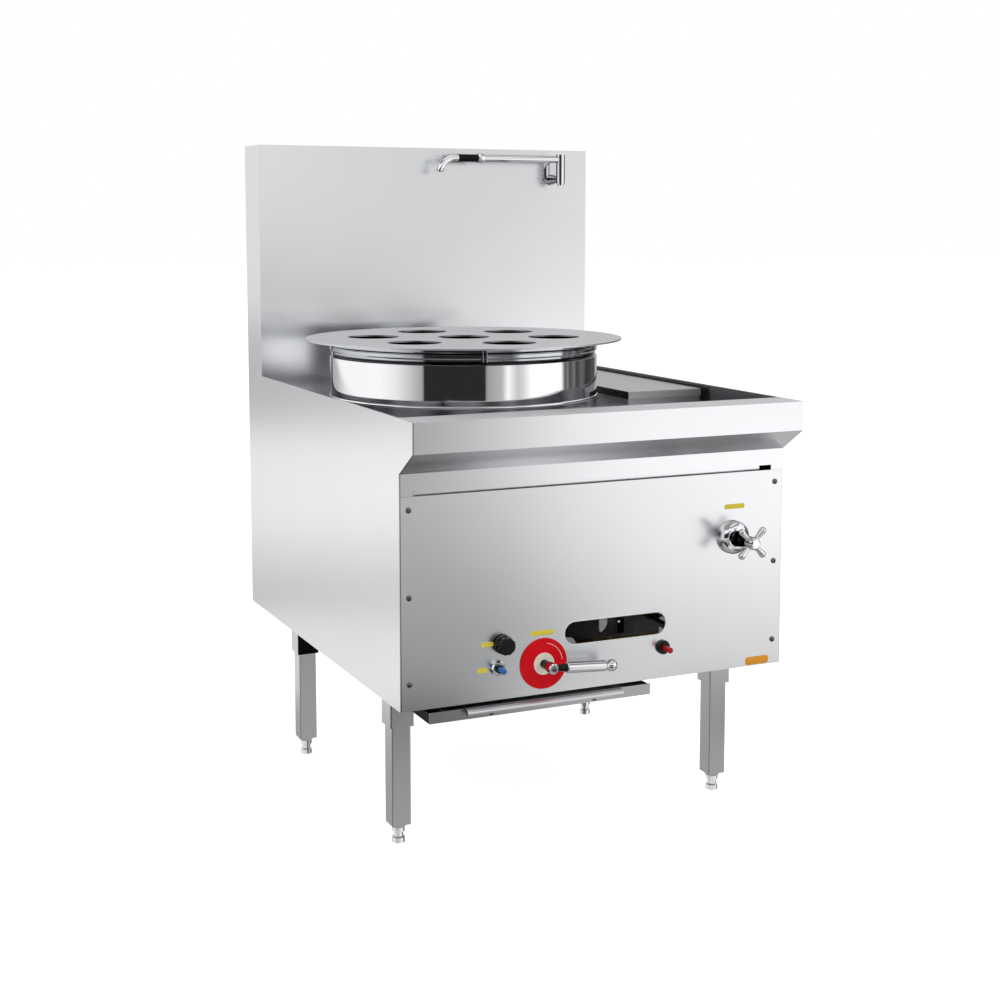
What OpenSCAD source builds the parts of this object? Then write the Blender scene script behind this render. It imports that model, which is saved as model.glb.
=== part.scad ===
/* [Bench] */
// Width of the bench over its two side panels
bench_w = 800; // [760:5:900]
// Depth from the front panel's face to the back
bench_d = 940; // [900:5:1040]
// Height of the bench rim above the floor
bench_h = 825; // [805:5:860]
// Height of the cabinet's underside above the floor
cabinet_z = 300; // [285:5:310]
// Thickness of the cabinet's sheet steel
sheet = 1.5; // [1.2:0.1:2]
// Distance that the front nose stands out past the front panel
nose_out = 65; // [50:1:80]
// Height of the upright face of the nose
nose_h = 56; // [45:1:65]
// Height of the sloping face under the nose
bevel_h = 42.5; // [35:0.5:50]
// Height of the flat header below the slope
header_h = 31; // [25:1:36]
// Width of the flat front rail, from the nose to the well
rail_d = 75; // [70:1:90]
// Depth of the well below the rim
well_depth = 40; // [32:1:46]
// Width of the folded hem along each side of the well
hem_w = 6; // [5:0.5:9]

/* [Air slot] */
// Height of the air slot above the front panel
slot_h = 10; // [6:1:14]
// Distance from each side of the bench to the end of the air slot
slot_inset = 27.5; // [24:0.5:40]
// Distance from the header's back to the baffle behind the slot
baffle_gap = 10.5; // [8:0.5:16]
// Length of the slot's right end that the baffle leaves open
baffle_short = 20; // [15:1:40]

/* [Splashback] */
// Height of the splashback above the rim
splash_h = 505; // [400:5:550]
// Thickness of the splashback, which is also the flue
splash_t = 105; // [95:1:120]
// Length of one vent slot in the splashback's back
vent_l = 90; // [60:5:100]
// Height of one vent slot
vent_h = 8; // [5:1:12]
// Height step between rows of vent slots
vent_pitch = 22; // [18:1:30]

/* [Front panel] */
// Distance from the side of the bench to the panel's screws
screw_inset = 18; // [14:0.5:20]
// Distance from the panel's top edge to the upper screws
screw_drop = 23.5; // [15:0.5:40]
// Distance from the panel's bottom edge to the lower screws
screw_rise = 48.5; // [40:0.5:80]
// Diameter of a screw's domed head
screw_head_d = 11; // [9:0.5:13]
// Diameter of a screw's shank
screw_d = 4.8; // [4:0.1:5]
// Length of the oval inspection window
window_l = 214; // [180:1:230]
// Height of the oval inspection window
window_h = 42; // [34:1:46]
// Distance from the left side to the middle of the window
window_x = 432.8; // [420:0.2:445]
// Height of the window's middle above the cabinet's underside
window_rise = 107.5; // [105:0.5:115]

/* [Legs] */
// Side of the square leg tube
leg_w = 38; // [32:1:40]
// Wall of the leg tube
leg_wall = 1.6; // [1.2:0.1:2.5]
// Distance from the side of the bench to a leg's axis
leg_inset = 54; // [50:1:62]
// Distance from the front panel to the front legs' axis
leg_front_y = 155; // [140:1:200]
// Distance from the back to the rear legs' axis
leg_back_y = 220; // [180:1:260]
// Wall of the sleeve that holds a leg's top
sleeve_wall = 4.2; // [3:0.1:6]
// Height of the sleeve
sleeve_h = 72; // [50:1:90]
// Height from the floor to the end of the leg tube
foot_h = 30; // [26:1:40]
// Diameter of a levelling foot
foot_d = 24; // [20:1:28]
// Diameter of a levelling foot's thread
stud_d = 16; // [12:0.5:18]
// Distance that a levelling foot screws out
foot_travel = 20; // [10:1:25]

/* [Steam pot] */
// Distance from the left side to the pot's axis, as a share of the bench's width
pot_part = 0.383125; // [0.38:0.000625:0.4]
// Distance from the front panel to the pot's axis
pot_y = 424; // [415:1:435]
// Outer diameter of the steam ring's wall, as a share of the bench's width
ring_part = 0.68; // [0.65:0.005:0.685]
// Wall of the steam ring
ring_wall = 1.8; // [1.5:0.1:2.5]
// Height of the steam ring's top above the rim
ring_rise = 102; // [90:1:120]
// Height of the collar band around the ring's top
collar_h = 27; // [25:0.5:34]
// Distance that the collar band stands out from the ring
collar_out = 2.4; // [1:0.1:6]
// Distance that the ring necks in under the collar
neck_in = 5; // [4:0.5:6]
// Height of the lower bead above the well's floor
bead_rise = 29.5; // [24:0.5:40]
// Radius of the ring's lower bead
bead_r = 3; // [2:0.5:6]
// Wall of the boiler pot
pot_wall = 2; // [1.5:0.1:3]
// Width of the boiler pot's rim flange
pot_rim = 11; // [9:0.5:14]
// Depth of the boiler pot's straight wall
pot_depth = 130; // [110:5:150]
// Depth of the boiler pot's dished bottom
dish_depth = 52; // [30:1:60]

/* [Perforated plate] */
// Distance that the perforated plate stands out beyond the steam ring
plate_out = 49.5; // [28:0.5:58]
// Thickness of the perforated plate
plate_t = 3; // [2:0.5:5]
// Diameter of each steam hole
hole_d = 105; // [80:1:112]
// Distance from the plate's centre to the outer holes
hole_pitch_r = 184; // [170:1:190]
// Turn of the hole pattern about the plate's centre
hole_turn = -24.5; // [-30:0.5:30]

/* [Float box] */
// Length of the float box, from front to back
box_l = 555; // [500:5:560]
// Width of the float box
box_w = 170; // [150:1:172]
// Gap between the float box and the right wall of the well
box_side_gap = 13.5; // [4:0.5:16]
// Depth of the float box below the well's floor
box_drop = 95; // [80:1:110]
// Height of the float box's cover above the well's floor
box_rise = 33; // [26:1:38]
// Height of the cover's folded skirt
cover_skirt = 15; // [10:1:18]
// Diameter of the float
float_d = 66; // [50:2:70]
// Length of the float's arm
float_arm_l = 160; // [120:5:200]

/* [Furnace] */
// Distance from the steam ring's wall out to the furnace wall
furnace_out = 14; // [10:1:18]
// Height of the furnace's lower edge above the cabinet's underside
furnace_rise = 80; // [80:1:84]
// Width of the flue duct at the furnace's back
duct_w = 180; // [120:5:240]
// Height of the flue duct
duct_h = 70; // [50:5:80]

/* [Burner] */
// Number of arms on the burner
arm_count = 8; // [6:1:10]
// Length of a burner arm from the axis
arm_l = 125; // [110:1:140]
// Diameter of a burner arm
arm_d = 22; // [18:1:26]
// Diameter of the burner's middle drum
drum_d = 150; // [146:2:160]
// Height of the burner's middle drum
drum_h = 30; // [26:1:36]
// Gap from the furnace's lower edge to the drum's underside
drum_rise = 20; // [16:1:30]
// Diameter of a jet
jet_d = 12; // [9:0.5:14]
// Height of a jet
jet_h = 24; // [18:1:30]

/* [Gas lever] */
// Distance from the left side to the main gas valve
lever_x = 281.6; // [270:0.2:290]
// Height of the gas valves above the cabinet's underside
gas_rise = 57.5; // [56:0.5:62]
// Height of the igniter and the safety button above the cabinet's underside
button_rise = 60.2; // [58:0.2:64]
// Diameter of the round plate behind the lever
dial_d = 95; // [80:1:100]
// Thickness of the round plate
dial_t = 2; // [1:0.5:3]
// Diameter of the ring in the middle of the round plate
dial_ring_d = 41; // [36:1:50]
// Distance from the panel to the front of the lever's hub
hub_out = 45.5; // [40:0.5:50]
// Diameter of the lever's hub
hub_d = 20; // [18:0.5:28]
// Length of the lever from the stem's axis to its tip
lever_l = 134; // [110:1:150]
// Turn of the lever below level when the gas is off
lever_turn = 4; // [0:0.5:10]
// Diameter of the lever's grip
grip_d = 20; // [14:0.5:22]
// Distance from the axis to the start of the grip
grip_start = 29; // [24:1:36]
// Diameter of the ball at the lever's tip
ball_d = 22; // [18:0.5:24]

/* [Pilot and buttons] */
// Distance from the left side to the pilot knob
pilot_x = 199; // [190:0.5:202]
// Distance from the left side to the igniter
igniter_x = 188.6; // [180:0.2:195]
// Height of the pilot knob above the gas valves
pilot_rise = 45.5; // [42:0.5:52]
// Diameter of the pilot knob
knob_d = 36; // [30:1:40]
// Distance from the panel to the knob's face
knob_out = 25; // [22:1:45]
// Number of flutes around the knob
flute_count = 8; // [6:1:12]
// Distance from the left side to the safety button
safety_x = 534.3; // [525:0.1:545]
// Diameter of a button's bezel
bezel_d = 27; // [24:0.5:30]
// Diameter of a button's inner sleeve
guide_d = 18; // [16:0.5:20]
// Diameter of a button
button_d = 11; // [9:0.5:13]
// Distance from the panel to a button's tip
button_out = 32; // [28:1:38]
// Travel of a button
button_travel = 4; // [2:0.5:6]

/* [Water tap] */
// Distance from the right side to the tap
tap_inset = 112.6; // [105:0.2:120]
// Height of the tap above the cabinet's underside
tap_rise = 260; // [250:1:270]
// Diameter of the tap's domed flange
flange_d = 64.5; // [56:0.5:70]
// Distance from the panel to the front of the handle
tap_out = 82; // [76:1:90]
// Length of a handle arm from the axis
cross_l = 39; // [32:1:44]
// Diameter of a handle arm
cross_d = 13.5; // [10:0.5:15]

/* [Swing faucet] */
// Distance from the right side to the faucet
faucet_inset = 90; // [80:1:110]
// Distance from the splashback's top down to the spout's arm
faucet_drop = 23; // [20:1:60]
// Distance from the splashback to the faucet's axis
faucet_out = 46; // [36:1:60]
// Diameter of the faucet's body
faucet_d = 20; // [16:0.5:22]
// Diameter of the spout's arm
spout_d = 15.5; // [12:0.5:17]
// Distance from the faucet's axis to the grip's collar
collar_at = 196; // [160:1:220]
// Length of the grip's collar
collar_l = 15; // [10:1:20]
// Length of the black grip
sleeve_l = 48; // [36:1:60]
// Radius of the bend at the spout's end
bend_r = 37; // [20:1:40]

/* [Drip tray] */
// Distance from the left side to the tray's front plate
tray_x = 55; // [50:1:60]
// Width of the tray's front plate
tray_w = 452; // [420:2:470]
// Height of the tray
tray_h = 20.5; // [14:0.5:22]
// Gap between the cabinet's underside and the tray's top
tray_gap = 7.5; // [6:0.5:14]
// Depth of the tray
tray_d = 640; // [500:10:660]
// Length of the folded pull along the tray's front
pull_l = 319; // [260:1:360]
// Distance that the pull stands out
pull_out = 12; // [8:1:20]

/* [Pipes] */
// Outer diameter of the gas pipes
gas_pipe_d = 22; // [21:0.5:24]
// Outer diameter of the water pipes
water_pipe_d = 21.3; // [17.2:0.1:22]
// Wall of the pipes
pipe_wall = 2.6; // [2:0.1:3]
// Distance from the right side to the gas inlet
inlet_inset = 150; // [140:1:160]
// Length of the inlets behind the back panel
inlet_l = 25; // [18:1:40]
// Diameter of the gas inlet's thread
gas_thread_d = 26.44; // [25:0.02:26.6]
// Diameter of the water inlet's thread
water_thread_d = 20.96; // [16.9:0.02:21.2]

/* [Clearances] */
// Gap between a lifted or sliding piece and its seat
seat_gap = 0.3; // [0.2:0.05:0.5]
// Radial gap of a turning shaft in its bore
shaft_gap = 0.08; // [0.05:0.01:0.1]
// Radial gap around a pipe, screw or bush in sheet
hole_gap = 0.4; // [0.3:0.1:0.6]

/* [Hidden] */
$fn = 96;

// Heights and places that follow from the driving sizes
top_z = bench_h + splash_h;
nose_z = bench_h - nose_h;
bevel_z = nose_z - bevel_h;
header_z = bevel_z - header_h;
panel_top = header_z - slot_h;
panel_gap = 0.3;
well_y = rail_d - nose_out;
floor_z = bench_h - well_depth;
splash_y = bench_d - splash_t;
window_z = cabinet_z + window_rise;
gas_z = cabinet_z + gas_rise;
button_z = cabinet_z + button_rise;
pilot_z = gas_z + pilot_rise;
tap_x = bench_w - tap_inset;
tap_z = cabinet_z + tap_rise;
flange_w = 30;
foot_flange_w = 20;

pot_x = pot_part * bench_w;
ring_r = ring_part * bench_w / 2;
collar_r = ring_r + collar_out;
neck_r = ring_r - neck_in;
plate_r = ring_r + plate_out;
pot_seat_z = floor_z + sheet;
ring_z = pot_seat_z + seat_gap;
ring_top = bench_h + ring_rise;
plate_z = ring_top + seat_gap;
pot_r = ring_r - pot_rim;
furnace_r = ring_r + furnace_out;
furnace_z = cabinet_z + furnace_rise;
drum_z = furnace_z + drum_rise;
jet_z = drum_z + drum_h;

box_x = bench_w - hem_w - box_side_gap - box_w;
box_y = splash_y - 2 - box_l;
box_z = floor_z - box_drop;
cover_z = floor_z + box_rise;
cover_t = 1.2;
float_z = floor_z - 24;
float_pivot_y = box_y + 46;
balance_z = box_z + 28;

leg_x = [leg_inset, bench_w - leg_inset];
leg_y = [leg_front_y, bench_d - leg_back_y];
beam_w = 50;
beam_h = 40;
beam_wall = 3;
beam_z = cabinet_z + beam_h;
pipe_y = 75;
inlet_x = bench_w - inlet_inset;
faucet_x = bench_w - faucet_inset;
faucet_y = splash_y - faucet_out;
faucet_z = top_z - faucet_drop;
riser_y = bench_d - splash_t / 2;
tray_z = cabinet_z - tray_gap - tray_h;
runner_x = [leg_inset + leg_w / 2 + sleeve_wall + 3, tray_x + tray_w - 2];

// The origin is under the middle of the whole object's box
front_y = -max(tap_out, nose_out);
back_y = bench_d + inlet_l;
mid_x = (min(0, pot_x - plate_r) + bench_w) / 2;
mid_y = (front_y + back_y) / 2;

module placed() {
    translate([-mid_x, -mid_y, 0]) children();
}

// Folded sheet: a path of outer fold lines becomes a closed outline of even thickness
function side_of(a, b) = [a[1] - b[1], b[0] - a[0]] / norm(b - a);
function miter(p, i) =
    i == 0 ? side_of(p[0], p[1]) :
    i == len(p) - 1 ? side_of(p[i - 1], p[i]) :
    (side_of(p[i - 1], p[i]) + side_of(p[i], p[i + 1]))
        / (1 + side_of(p[i - 1], p[i]) * side_of(p[i], p[i + 1]));
function folded(p, t) = concat(p, [for (i = [len(p) - 1 : -1 : 0]) p[i] + t * miter(p, i)]);

module sheet_along_x(path, x0, x1, t = sheet) {
    translate([x0, 0, 0])
        rotate([90, 0, 90])
            linear_extrude(x1 - x0)
                polygon(folded(path, t));
}

module sheet_along_y(path, y0, y1, t = sheet) {
    translate([0, y1, 0])
        rotate([90, 0, 0])
            linear_extrude(y1 - y0)
                polygon(folded(path, t));
}

// A box between two corners
module block(low, high) {
    translate(low) cube(high - low);
}

// Round bars along the axes, from one coordinate to another
module bar_x(x0, x1, y, z, d) {
    translate([x0, y, z]) rotate([0, 90, 0]) cylinder(h = x1 - x0, d = d);
}

module bar_y(x, y0, y1, z, d) {
    translate([x, y0, z]) rotate([-90, 0, 0]) cylinder(h = y1 - y0, d = d);
}

module bar_z(x, y, z0, z1, d) {
    translate([x, y, z0]) cylinder(h = z1 - z0, d = d);
}

// A solid turned about an axis that runs out of the panel, from (radius, distance out) points
module turned_out(x, z, points) {
    translate([x, 0, z]) rotate([90, 0, 0]) rotate_extrude() polygon(points);
}

module rounded_square(size, r) {
    square([size, size - 2 * r], center = true);
    square([size - 2 * r, size], center = true);
    for (sx = [-1, 1], sy = [-1, 1])
        translate([sx * (size / 2 - r), sy * (size / 2 - r)]) circle(r);
}

// A slot with round ends, cut along Y
module oval_cut(x, z, length, height, y0, y1) {
    block([x - (length - height) / 2, y0, z - height / 2], [x + (length - height) / 2, y1, z + height / 2]);
    for (side = [-1, 1])
        bar_y(x + side * (length - height) / 2, y0, y1, z, height);
}

module mirrored_right() {
    translate([bench_w, 0, 0]) mirror([1, 0, 0]) children();
}

screw_z = [
    panel_top - screw_drop,
    (panel_top - screw_drop + cabinet_z + screw_rise) / 2,
    cabinet_z + screw_rise
];

// Side panel: one sheet with the nose's outline and flanges folded in at the front, back and foot
module side_sheet() {
    difference() {
        union() {
            rotate([90, 0, 90])
                linear_extrude(sheet)
                    polygon([
                        [0, cabinet_z], [bench_d, cabinet_z], [bench_d, bench_h],
                        [-nose_out, bench_h], [-nose_out, nose_z], [0, bevel_z]
                    ]);
            block([0, sheet, cabinet_z], [flange_w, 2 * sheet, panel_top]);
            block([0, sheet, cabinet_z], [foot_flange_w, bench_d - sheet, cabinet_z + sheet]);
            block([0, bench_d - 2 * sheet, cabinet_z], [foot_flange_w, bench_d - sheet, bench_h - sheet]);
        }
        for (z = screw_z)
            bar_y(screw_inset, 0, 3 * sheet, z, screw_d + 2 * hole_gap);
    }
}

module left_side_panel() {
    color("gainsboro") placed() side_sheet();
}

module right_side_panel() {
    color("gainsboro") placed() mirrored_right() side_sheet();
}

// Front rail: header, slope, nose, flat top and the fold down into the well
module front_rail() {
    color("whitesmoke") placed() difference() {
        sheet_along_x([
            [0, panel_top + panel_gap], [0, bevel_z], [-nose_out, nose_z],
            [-nose_out, bench_h], [well_y, bench_h], [well_y, floor_z - sheet]
        ], sheet, bench_w - sheet, -sheet);
        block([slot_inset, -sheet, panel_top], [bench_w - slot_inset, 2 * sheet, header_z]);
    }
}

// Baffle: an angle behind the air slot, short of the slot's right end
module slot_baffle() {
    color("silver") placed()
        sheet_along_x([
            [sheet, bevel_z - 8], [sheet + baffle_gap, bevel_z - 8], [sheet + baffle_gap, panel_top - 12]
        ], flange_w + 2, bench_w - slot_inset - baffle_short, -sheet);
}

module front_panel() {
    color("gainsboro") placed() difference() {
        union() {
            block([sheet + panel_gap, 0, cabinet_z], [bench_w - sheet - panel_gap, sheet, panel_top]);
            block([flange_w + 2, 0, cabinet_z], [bench_w - flange_w - 2, 12, cabinet_z + sheet]);
        }
        oval_cut(window_x, window_z, window_l, window_h, -1, sheet + 1);
        for (x = [screw_inset, bench_w - screw_inset], z = screw_z)
            bar_y(x, -1, sheet + 1, z, screw_d + 2 * hole_gap);
        bar_y(lever_x, -1, sheet + 1, gas_z, stem_d + 6);
        bar_y(pilot_x, -1, sheet + 1, pilot_z, pilot_shaft_d + 6);
        bar_y(igniter_x, -1, sheet + 1, button_z, guide_d + 2 * hole_gap);
        bar_y(safety_x, -1, sheet + 1, button_z, guide_d + 2 * hole_gap);
        bar_y(tap_x, -1, sheet + 1, tap_z, tap_stem_d + 6);
    }
}

// Screws: a domed head over a plain shank
module panel_screws() {
    dome_h = 2.6;
    dome_r = (pow(screw_head_d / 2, 2) + pow(dome_h, 2)) / (2 * dome_h);
    color("dimgray") placed()
        for (x = [screw_inset, bench_w - screw_inset], z = screw_z) {
            bar_y(x, 0, 9, z, screw_d);
            intersection() {
                bar_y(x, -dome_h, 0, z, screw_head_d);
                translate([x, dome_r - dome_h, z]) sphere(dome_r);
            }
        }
}

module back_panel() {
    color("silver") placed() difference() {
        block([sheet, bench_d - sheet, cabinet_z], [bench_w - sheet, bench_d, bench_h - panel_gap]);
        for (row = [0 : 3], column = [0 : 4])
            oval_cut(bench_w / 2 + (column - 2) * (vent_l + 25), cabinet_z + 330 + row * vent_pitch,
                vent_l, vent_h, bench_d - 2 * sheet, bench_d + sheet);
        bar_y(inlet_x, bench_d - 2 * sheet, bench_d + sheet, gas_z, gas_pipe_d + 2 * hole_gap);
        bar_y(tap_x, bench_d - 2 * sheet, bench_d + sheet, tap_z, water_pipe_d + 2 * hole_gap);
    }
}

// Base frame: two angles along the sides, two box beams over the legs, and a sheet between the
// beams with a round hole that lets air up to the burner and drips down to the tray
module base_frame() {
    rail_z = cabinet_z + sheet;
    rail_x = sheet + panel_gap;
    rail_path = [[rail_x, rail_z + 32], [rail_x, rail_z], [rail_x + 32, rail_z]];
    rail_y = [14, bench_d - 3 * sheet];
    color("darkgray") placed() {
        sheet_along_y(rail_path, rail_y[0], rail_y[1], beam_wall);
        mirrored_right() sheet_along_y(rail_path, rail_y[0], rail_y[1], beam_wall);
        for (y = leg_y)
            difference() {
                block([foot_flange_w + 1, y - beam_w / 2, cabinet_z],
                    [bench_w - foot_flange_w - 1, y + beam_w / 2, beam_z]);
                block([foot_flange_w, y - beam_w / 2 + beam_wall, cabinet_z + beam_wall],
                    [bench_w - foot_flange_w, y + beam_w / 2 - beam_wall, beam_z - beam_wall]);
            }
        difference() {
            block([rail_x + 1, leg_y[0] + beam_w / 2 - 1, rail_z],
                [bench_w - rail_x - 1, leg_y[1] - beam_w / 2 + 1, rail_z + sheet]);
            bar_z(pot_x, pot_y, cabinet_z, beam_z, drum_d * 2);
        }
    }
}

// Well: one sheet folded up along both sides, with a front wall and holes for the pot and float box
module well_deck() {
    color("darkgray") placed() difference() {
        union() {
            sheet_along_y([
                [sheet, bench_h], [hem_w, bench_h], [hem_w, floor_z], [bench_w - hem_w, floor_z],
                [bench_w - hem_w, bench_h], [bench_w - sheet, bench_h]
            ], well_y, splash_y, -sheet);
            block([hem_w - sheet, well_y, floor_z - sheet], [bench_w - hem_w + sheet, well_y + sheet, bench_h]);
        }
        bar_z(pot_x, pot_y, floor_z - 2 * sheet, floor_z + sheet, 2 * (pot_r + hole_gap));
        block([box_x - hole_gap, box_y - hole_gap, floor_z - 2 * sheet],
            [box_x + box_w + hole_gap, box_y + box_l + hole_gap, floor_z + sheet]);
    }
}

// Splashback: the front sheet reaches down into the well, and the sides stand on the side panels
module splashback() {
    back = bench_d - sheet;
    color("gainsboro") placed() difference() {
        union() {
            difference() {
                block([0, splash_y, bench_h], [bench_w, back, top_z]);
                block([sheet, splash_y + sheet, bench_h - 1], [bench_w - sheet, back + 1, top_z - sheet]);
            }
            block([sheet, splash_y, floor_z - sheet], [bench_w - sheet, splash_y + sheet, bench_h]);
            for (side = [0, 1])
                translate([side * (bench_w - foot_flange_w), 0, 0])
                    block([0, back - sheet, bench_h], [foot_flange_w, back, top_z]);
        }
        for (z = [faucet_z - faucet_pipe_drop])
            bar_y(faucet_x, splash_y - 1, splash_y + sheet + 1, z, faucet_d - 4);
    }
}

module splashback_back() {
    color("silver") placed() difference() {
        block([0, bench_d - sheet, bench_h], [bench_w, bench_d, top_z]);
        for (row = [0 : 4], column = [0 : 4])
            oval_cut(bench_w / 2 + (column - 2) * (vent_l + 25), top_z - 45 - row * vent_pitch,
                vent_l, vent_h, bench_d - 2 * sheet, bench_d + sheet);
    }
}

// Leg sleeve: a square socket under each beam, with its lower corners rounded off
module leg_sleeve() {
    outer = leg_w + 2 * sleeve_wall;
    corner = 12;
    low = cabinet_z - sleeve_h;
    difference() {
        block([-outer / 2, -outer / 2, low], [outer / 2, outer / 2, cabinet_z]);
        translate([0, 0, low - 1])
            linear_extrude(sleeve_h + 1 - sheet) square(leg_w + 2 * leg_gap, center = true);
        for (turn = [0, 90], side = [-1, 1])
            rotate([0, 0, turn])
                translate([side * outer / 2, 0, low])
                    difference() {
                        block([-corner, -outer, -1], [corner, outer, corner]);
                        translate([-side * corner, 0, corner])
                            rotate([90, 0, 0])
                                cylinder(h = 3 * outer, r = corner, center = true);
                        translate([-side * corner, 0, 0])
                            block([-corner, -2 * outer, -2], [corner, 2 * outer, 2 * corner]);
                    }
    }
}

module leg_sleeves() {
    color("darkgray") placed()
        for (x = leg_x, y = leg_y)
            translate([x, y, 0]) leg_sleeve();
}

// Leg: a square tube with a tapered plug in its lower end, bored for the foot's thread
module leg(x, y) {
    top = cabinet_z - sheet;
    plug_h = 16;
    taper_h = 7;
    translate([x, y, 0]) {
        difference() {
            translate([0, 0, foot_h + taper_h])
                linear_extrude(top - foot_h - taper_h)
                    difference() {
                        rounded_square(leg_w, 2.5);
                        square(leg_w - 2 * leg_wall, center = true);
                    }
        }
        difference() {
            union() {
                translate([0, 0, foot_h + taper_h])
                    linear_extrude(plug_h) square(leg_w - 2 * leg_wall, center = true);
                translate([0, 0, foot_h])
                    cylinder(h = taper_h, d1 = foot_d + 2, d2 = leg_w - 2 * leg_wall);
            }
            bar_z(0, 0, foot_h - 1, foot_h + taper_h + plug_h + 1, stud_d + 2 * shaft_gap);
        }
    }
}

module leg_front_left() {
    color("darkgray") placed() leg(leg_x[0], leg_y[0]);
}

module leg_front_right() {
    color("darkgray") placed() leg(leg_x[1], leg_y[0]);
}

module leg_rear_left() {
    color("darkgray") placed() leg(leg_x[0], leg_y[1]);
}

module leg_rear_right() {
    color("darkgray") placed() leg(leg_x[1], leg_y[1]);
}

// Foot: a waisted pad on a threaded stud that turns in the leg's plug
module foot(x, y) {
    pad_h = 10;
    neck_d = foot_d - 6;
    nut_h = 8;
    translate([x, y, 0])
        rotate_extrude()
            polygon([
                [0, 0], [foot_d / 2, 0], [foot_d / 2, pad_h], [neck_d / 2, pad_h + 2],
                [neck_d / 2, foot_h - nut_h - seat_gap], [foot_d / 2, foot_h - nut_h - seat_gap],
                [foot_d / 2, foot_h - seat_gap], [stud_d / 2, foot_h - seat_gap],
                [stud_d / 2, foot_h + 2 * foot_travel], [0, foot_h + 2 * foot_travel]
            ]);
}

module foot_front_left() {
    color("silver") placed() foot(leg_x[0], leg_y[0]);
}

module foot_front_right() {
    color("silver") placed() foot(leg_x[1], leg_y[0]);
}

module foot_rear_left() {
    color("silver") placed() foot(leg_x[0], leg_y[1]);
}

module foot_rear_right() {
    color("silver") placed() foot(leg_x[1], leg_y[1]);
}

// Boiler pot: a flanged pan with a dished bottom, hung in the well's round hole
module boiler_pot() {
    wall_r = pot_r - pot_wall;
    low = pot_seat_z - pot_depth;
    dish = [for (a = [0 : 15 : 90]) [wall_r * cos(a), low - dish_depth * sin(a)]];
    inner = concat([[ring_r, pot_seat_z], [wall_r, pot_seat_z]], dish);
    skin = [for (a = [90 : -15 : 0]) [pot_r * cos(a), low - (dish_depth + pot_wall) * sin(a)]];
    color("silver") placed() difference() {
        translate([pot_x, pot_y, 0])
            rotate_extrude()
                polygon(concat(inner, skin, [[pot_r, floor_z], [ring_r, floor_z]]));
        bar_x(pot_x, pot_x + ring_r, pot_y, balance_z, balance_d + 2 * hole_gap);
    }
}

// Steam ring: a rolled wall with a half-round bead near its foot
module steam_ring() {
    bead_z = floor_z + bead_rise;
    neck_z = ring_top - collar_h - 0.5;
    bead = [for (a = [-90 : 15 : 90]) [ring_r + (bead_r - 1) * cos(a), bead_z + bead_r * sin(a)]];
    color("silver") placed()
        translate([pot_x, pot_y, 0])
            rotate_extrude()
                polygon(concat(
                    [[ring_r - ring_wall, ring_z], [ring_r, ring_z]],
                    bead,
                    [[ring_r, neck_z - neck_in], [neck_r, neck_z], [neck_r, ring_top]],
                    [[neck_r - ring_wall, ring_top], [neck_r - ring_wall, neck_z - 1]],
                    [[ring_r - ring_wall, neck_z - neck_in - 1]]
                ));
}

// Collar: a band around the ring's neck with a wide upper roll, a groove, a lower roll and a waist,
// closed by a seam with two ribs
module ring_collar() {
    low = ring_top - collar_h;
    inside = neck_r + 0.1;
    waist_r = ring_r - 3.5;
    groove_r = ring_r - 1;
    rib_w = 2.4;
    color("silver") placed() translate([pot_x, pot_y, 0]) {
        rotate_extrude()
            polygon([
                [inside, low], [waist_r, low], [waist_r, low + 5], [ring_r - 1, low + 6.5],
                [ring_r, low + 8], [ring_r, ring_top - 13], [ring_r - 1, ring_top - 12],
                [groove_r, ring_top - 9.5], [collar_r - 0.5, ring_top - 8.5], [collar_r, ring_top - 7],
                [collar_r, ring_top - 1], [collar_r - 0.5, ring_top], [inside, ring_top]
            ]);
        for (side = [-1, 1])
            rotate([0, 0, -seam_turn])
                block([side * seam_w / 2 - rib_w / 2, -collar_r - 0.8, low],
                    [side * seam_w / 2 + rib_w / 2, -inside - 1, ring_top]);
    }
}

// Perforated plate: a disc with one hole in the middle and six around it
module perforated_plate() {
    color("silver") placed() translate([pot_x, pot_y, plate_z]) difference() {
        cylinder(h = plate_t, r = plate_r);
        bar_z(0, 0, -1, plate_t + 1, hole_d);
        for (i = [0 : 5])
            rotate([0, 0, hole_turn + 60 * i])
                bar_z(hole_pitch_r, 0, -1, plate_t + 1, hole_d);
    }
}

// Float box: an open tank through the well's floor, with a ledge under the floor
module float_box() {
    rim_z = cover_z - cover_t - seat_gap;
    ledge = 4;
    color("silver") placed() difference() {
        union() {
            block([box_x, box_y, box_z], [box_x + box_w, box_y + box_l, rim_z]);
            block([box_x - ledge, box_y - ledge, floor_z - 2 * sheet],
                [box_x + box_w + ledge, box_y + box_l + ledge, floor_z - sheet]);
        }
        block([box_x + sheet, box_y + sheet, box_z + sheet],
            [box_x + box_w - sheet, box_y + box_l - sheet, rim_z + 1]);
        bar_x(box_x - 1, box_x + 2 * sheet, pot_y, balance_z, balance_d + 2 * hole_gap);
        bar_y(tap_x, box_y - 1, box_y + 2 * sheet, float_z, valve_d + 2 * hole_gap);
    }
}

// Cover: a sheet folded down on four sides over the float box
module float_box_cover() {
    side = seat_gap + cover_t;
    color("gainsboro") placed() difference() {
        block([box_x - side, box_y - side, cover_z - cover_skirt],
            [box_x + box_w + side, box_y + box_l + side, cover_z]);
        block([box_x - seat_gap, box_y - seat_gap, cover_z - cover_skirt - 1],
            [box_x + box_w + seat_gap, box_y + box_l + seat_gap, cover_z - cover_t]);
    }
}

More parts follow.
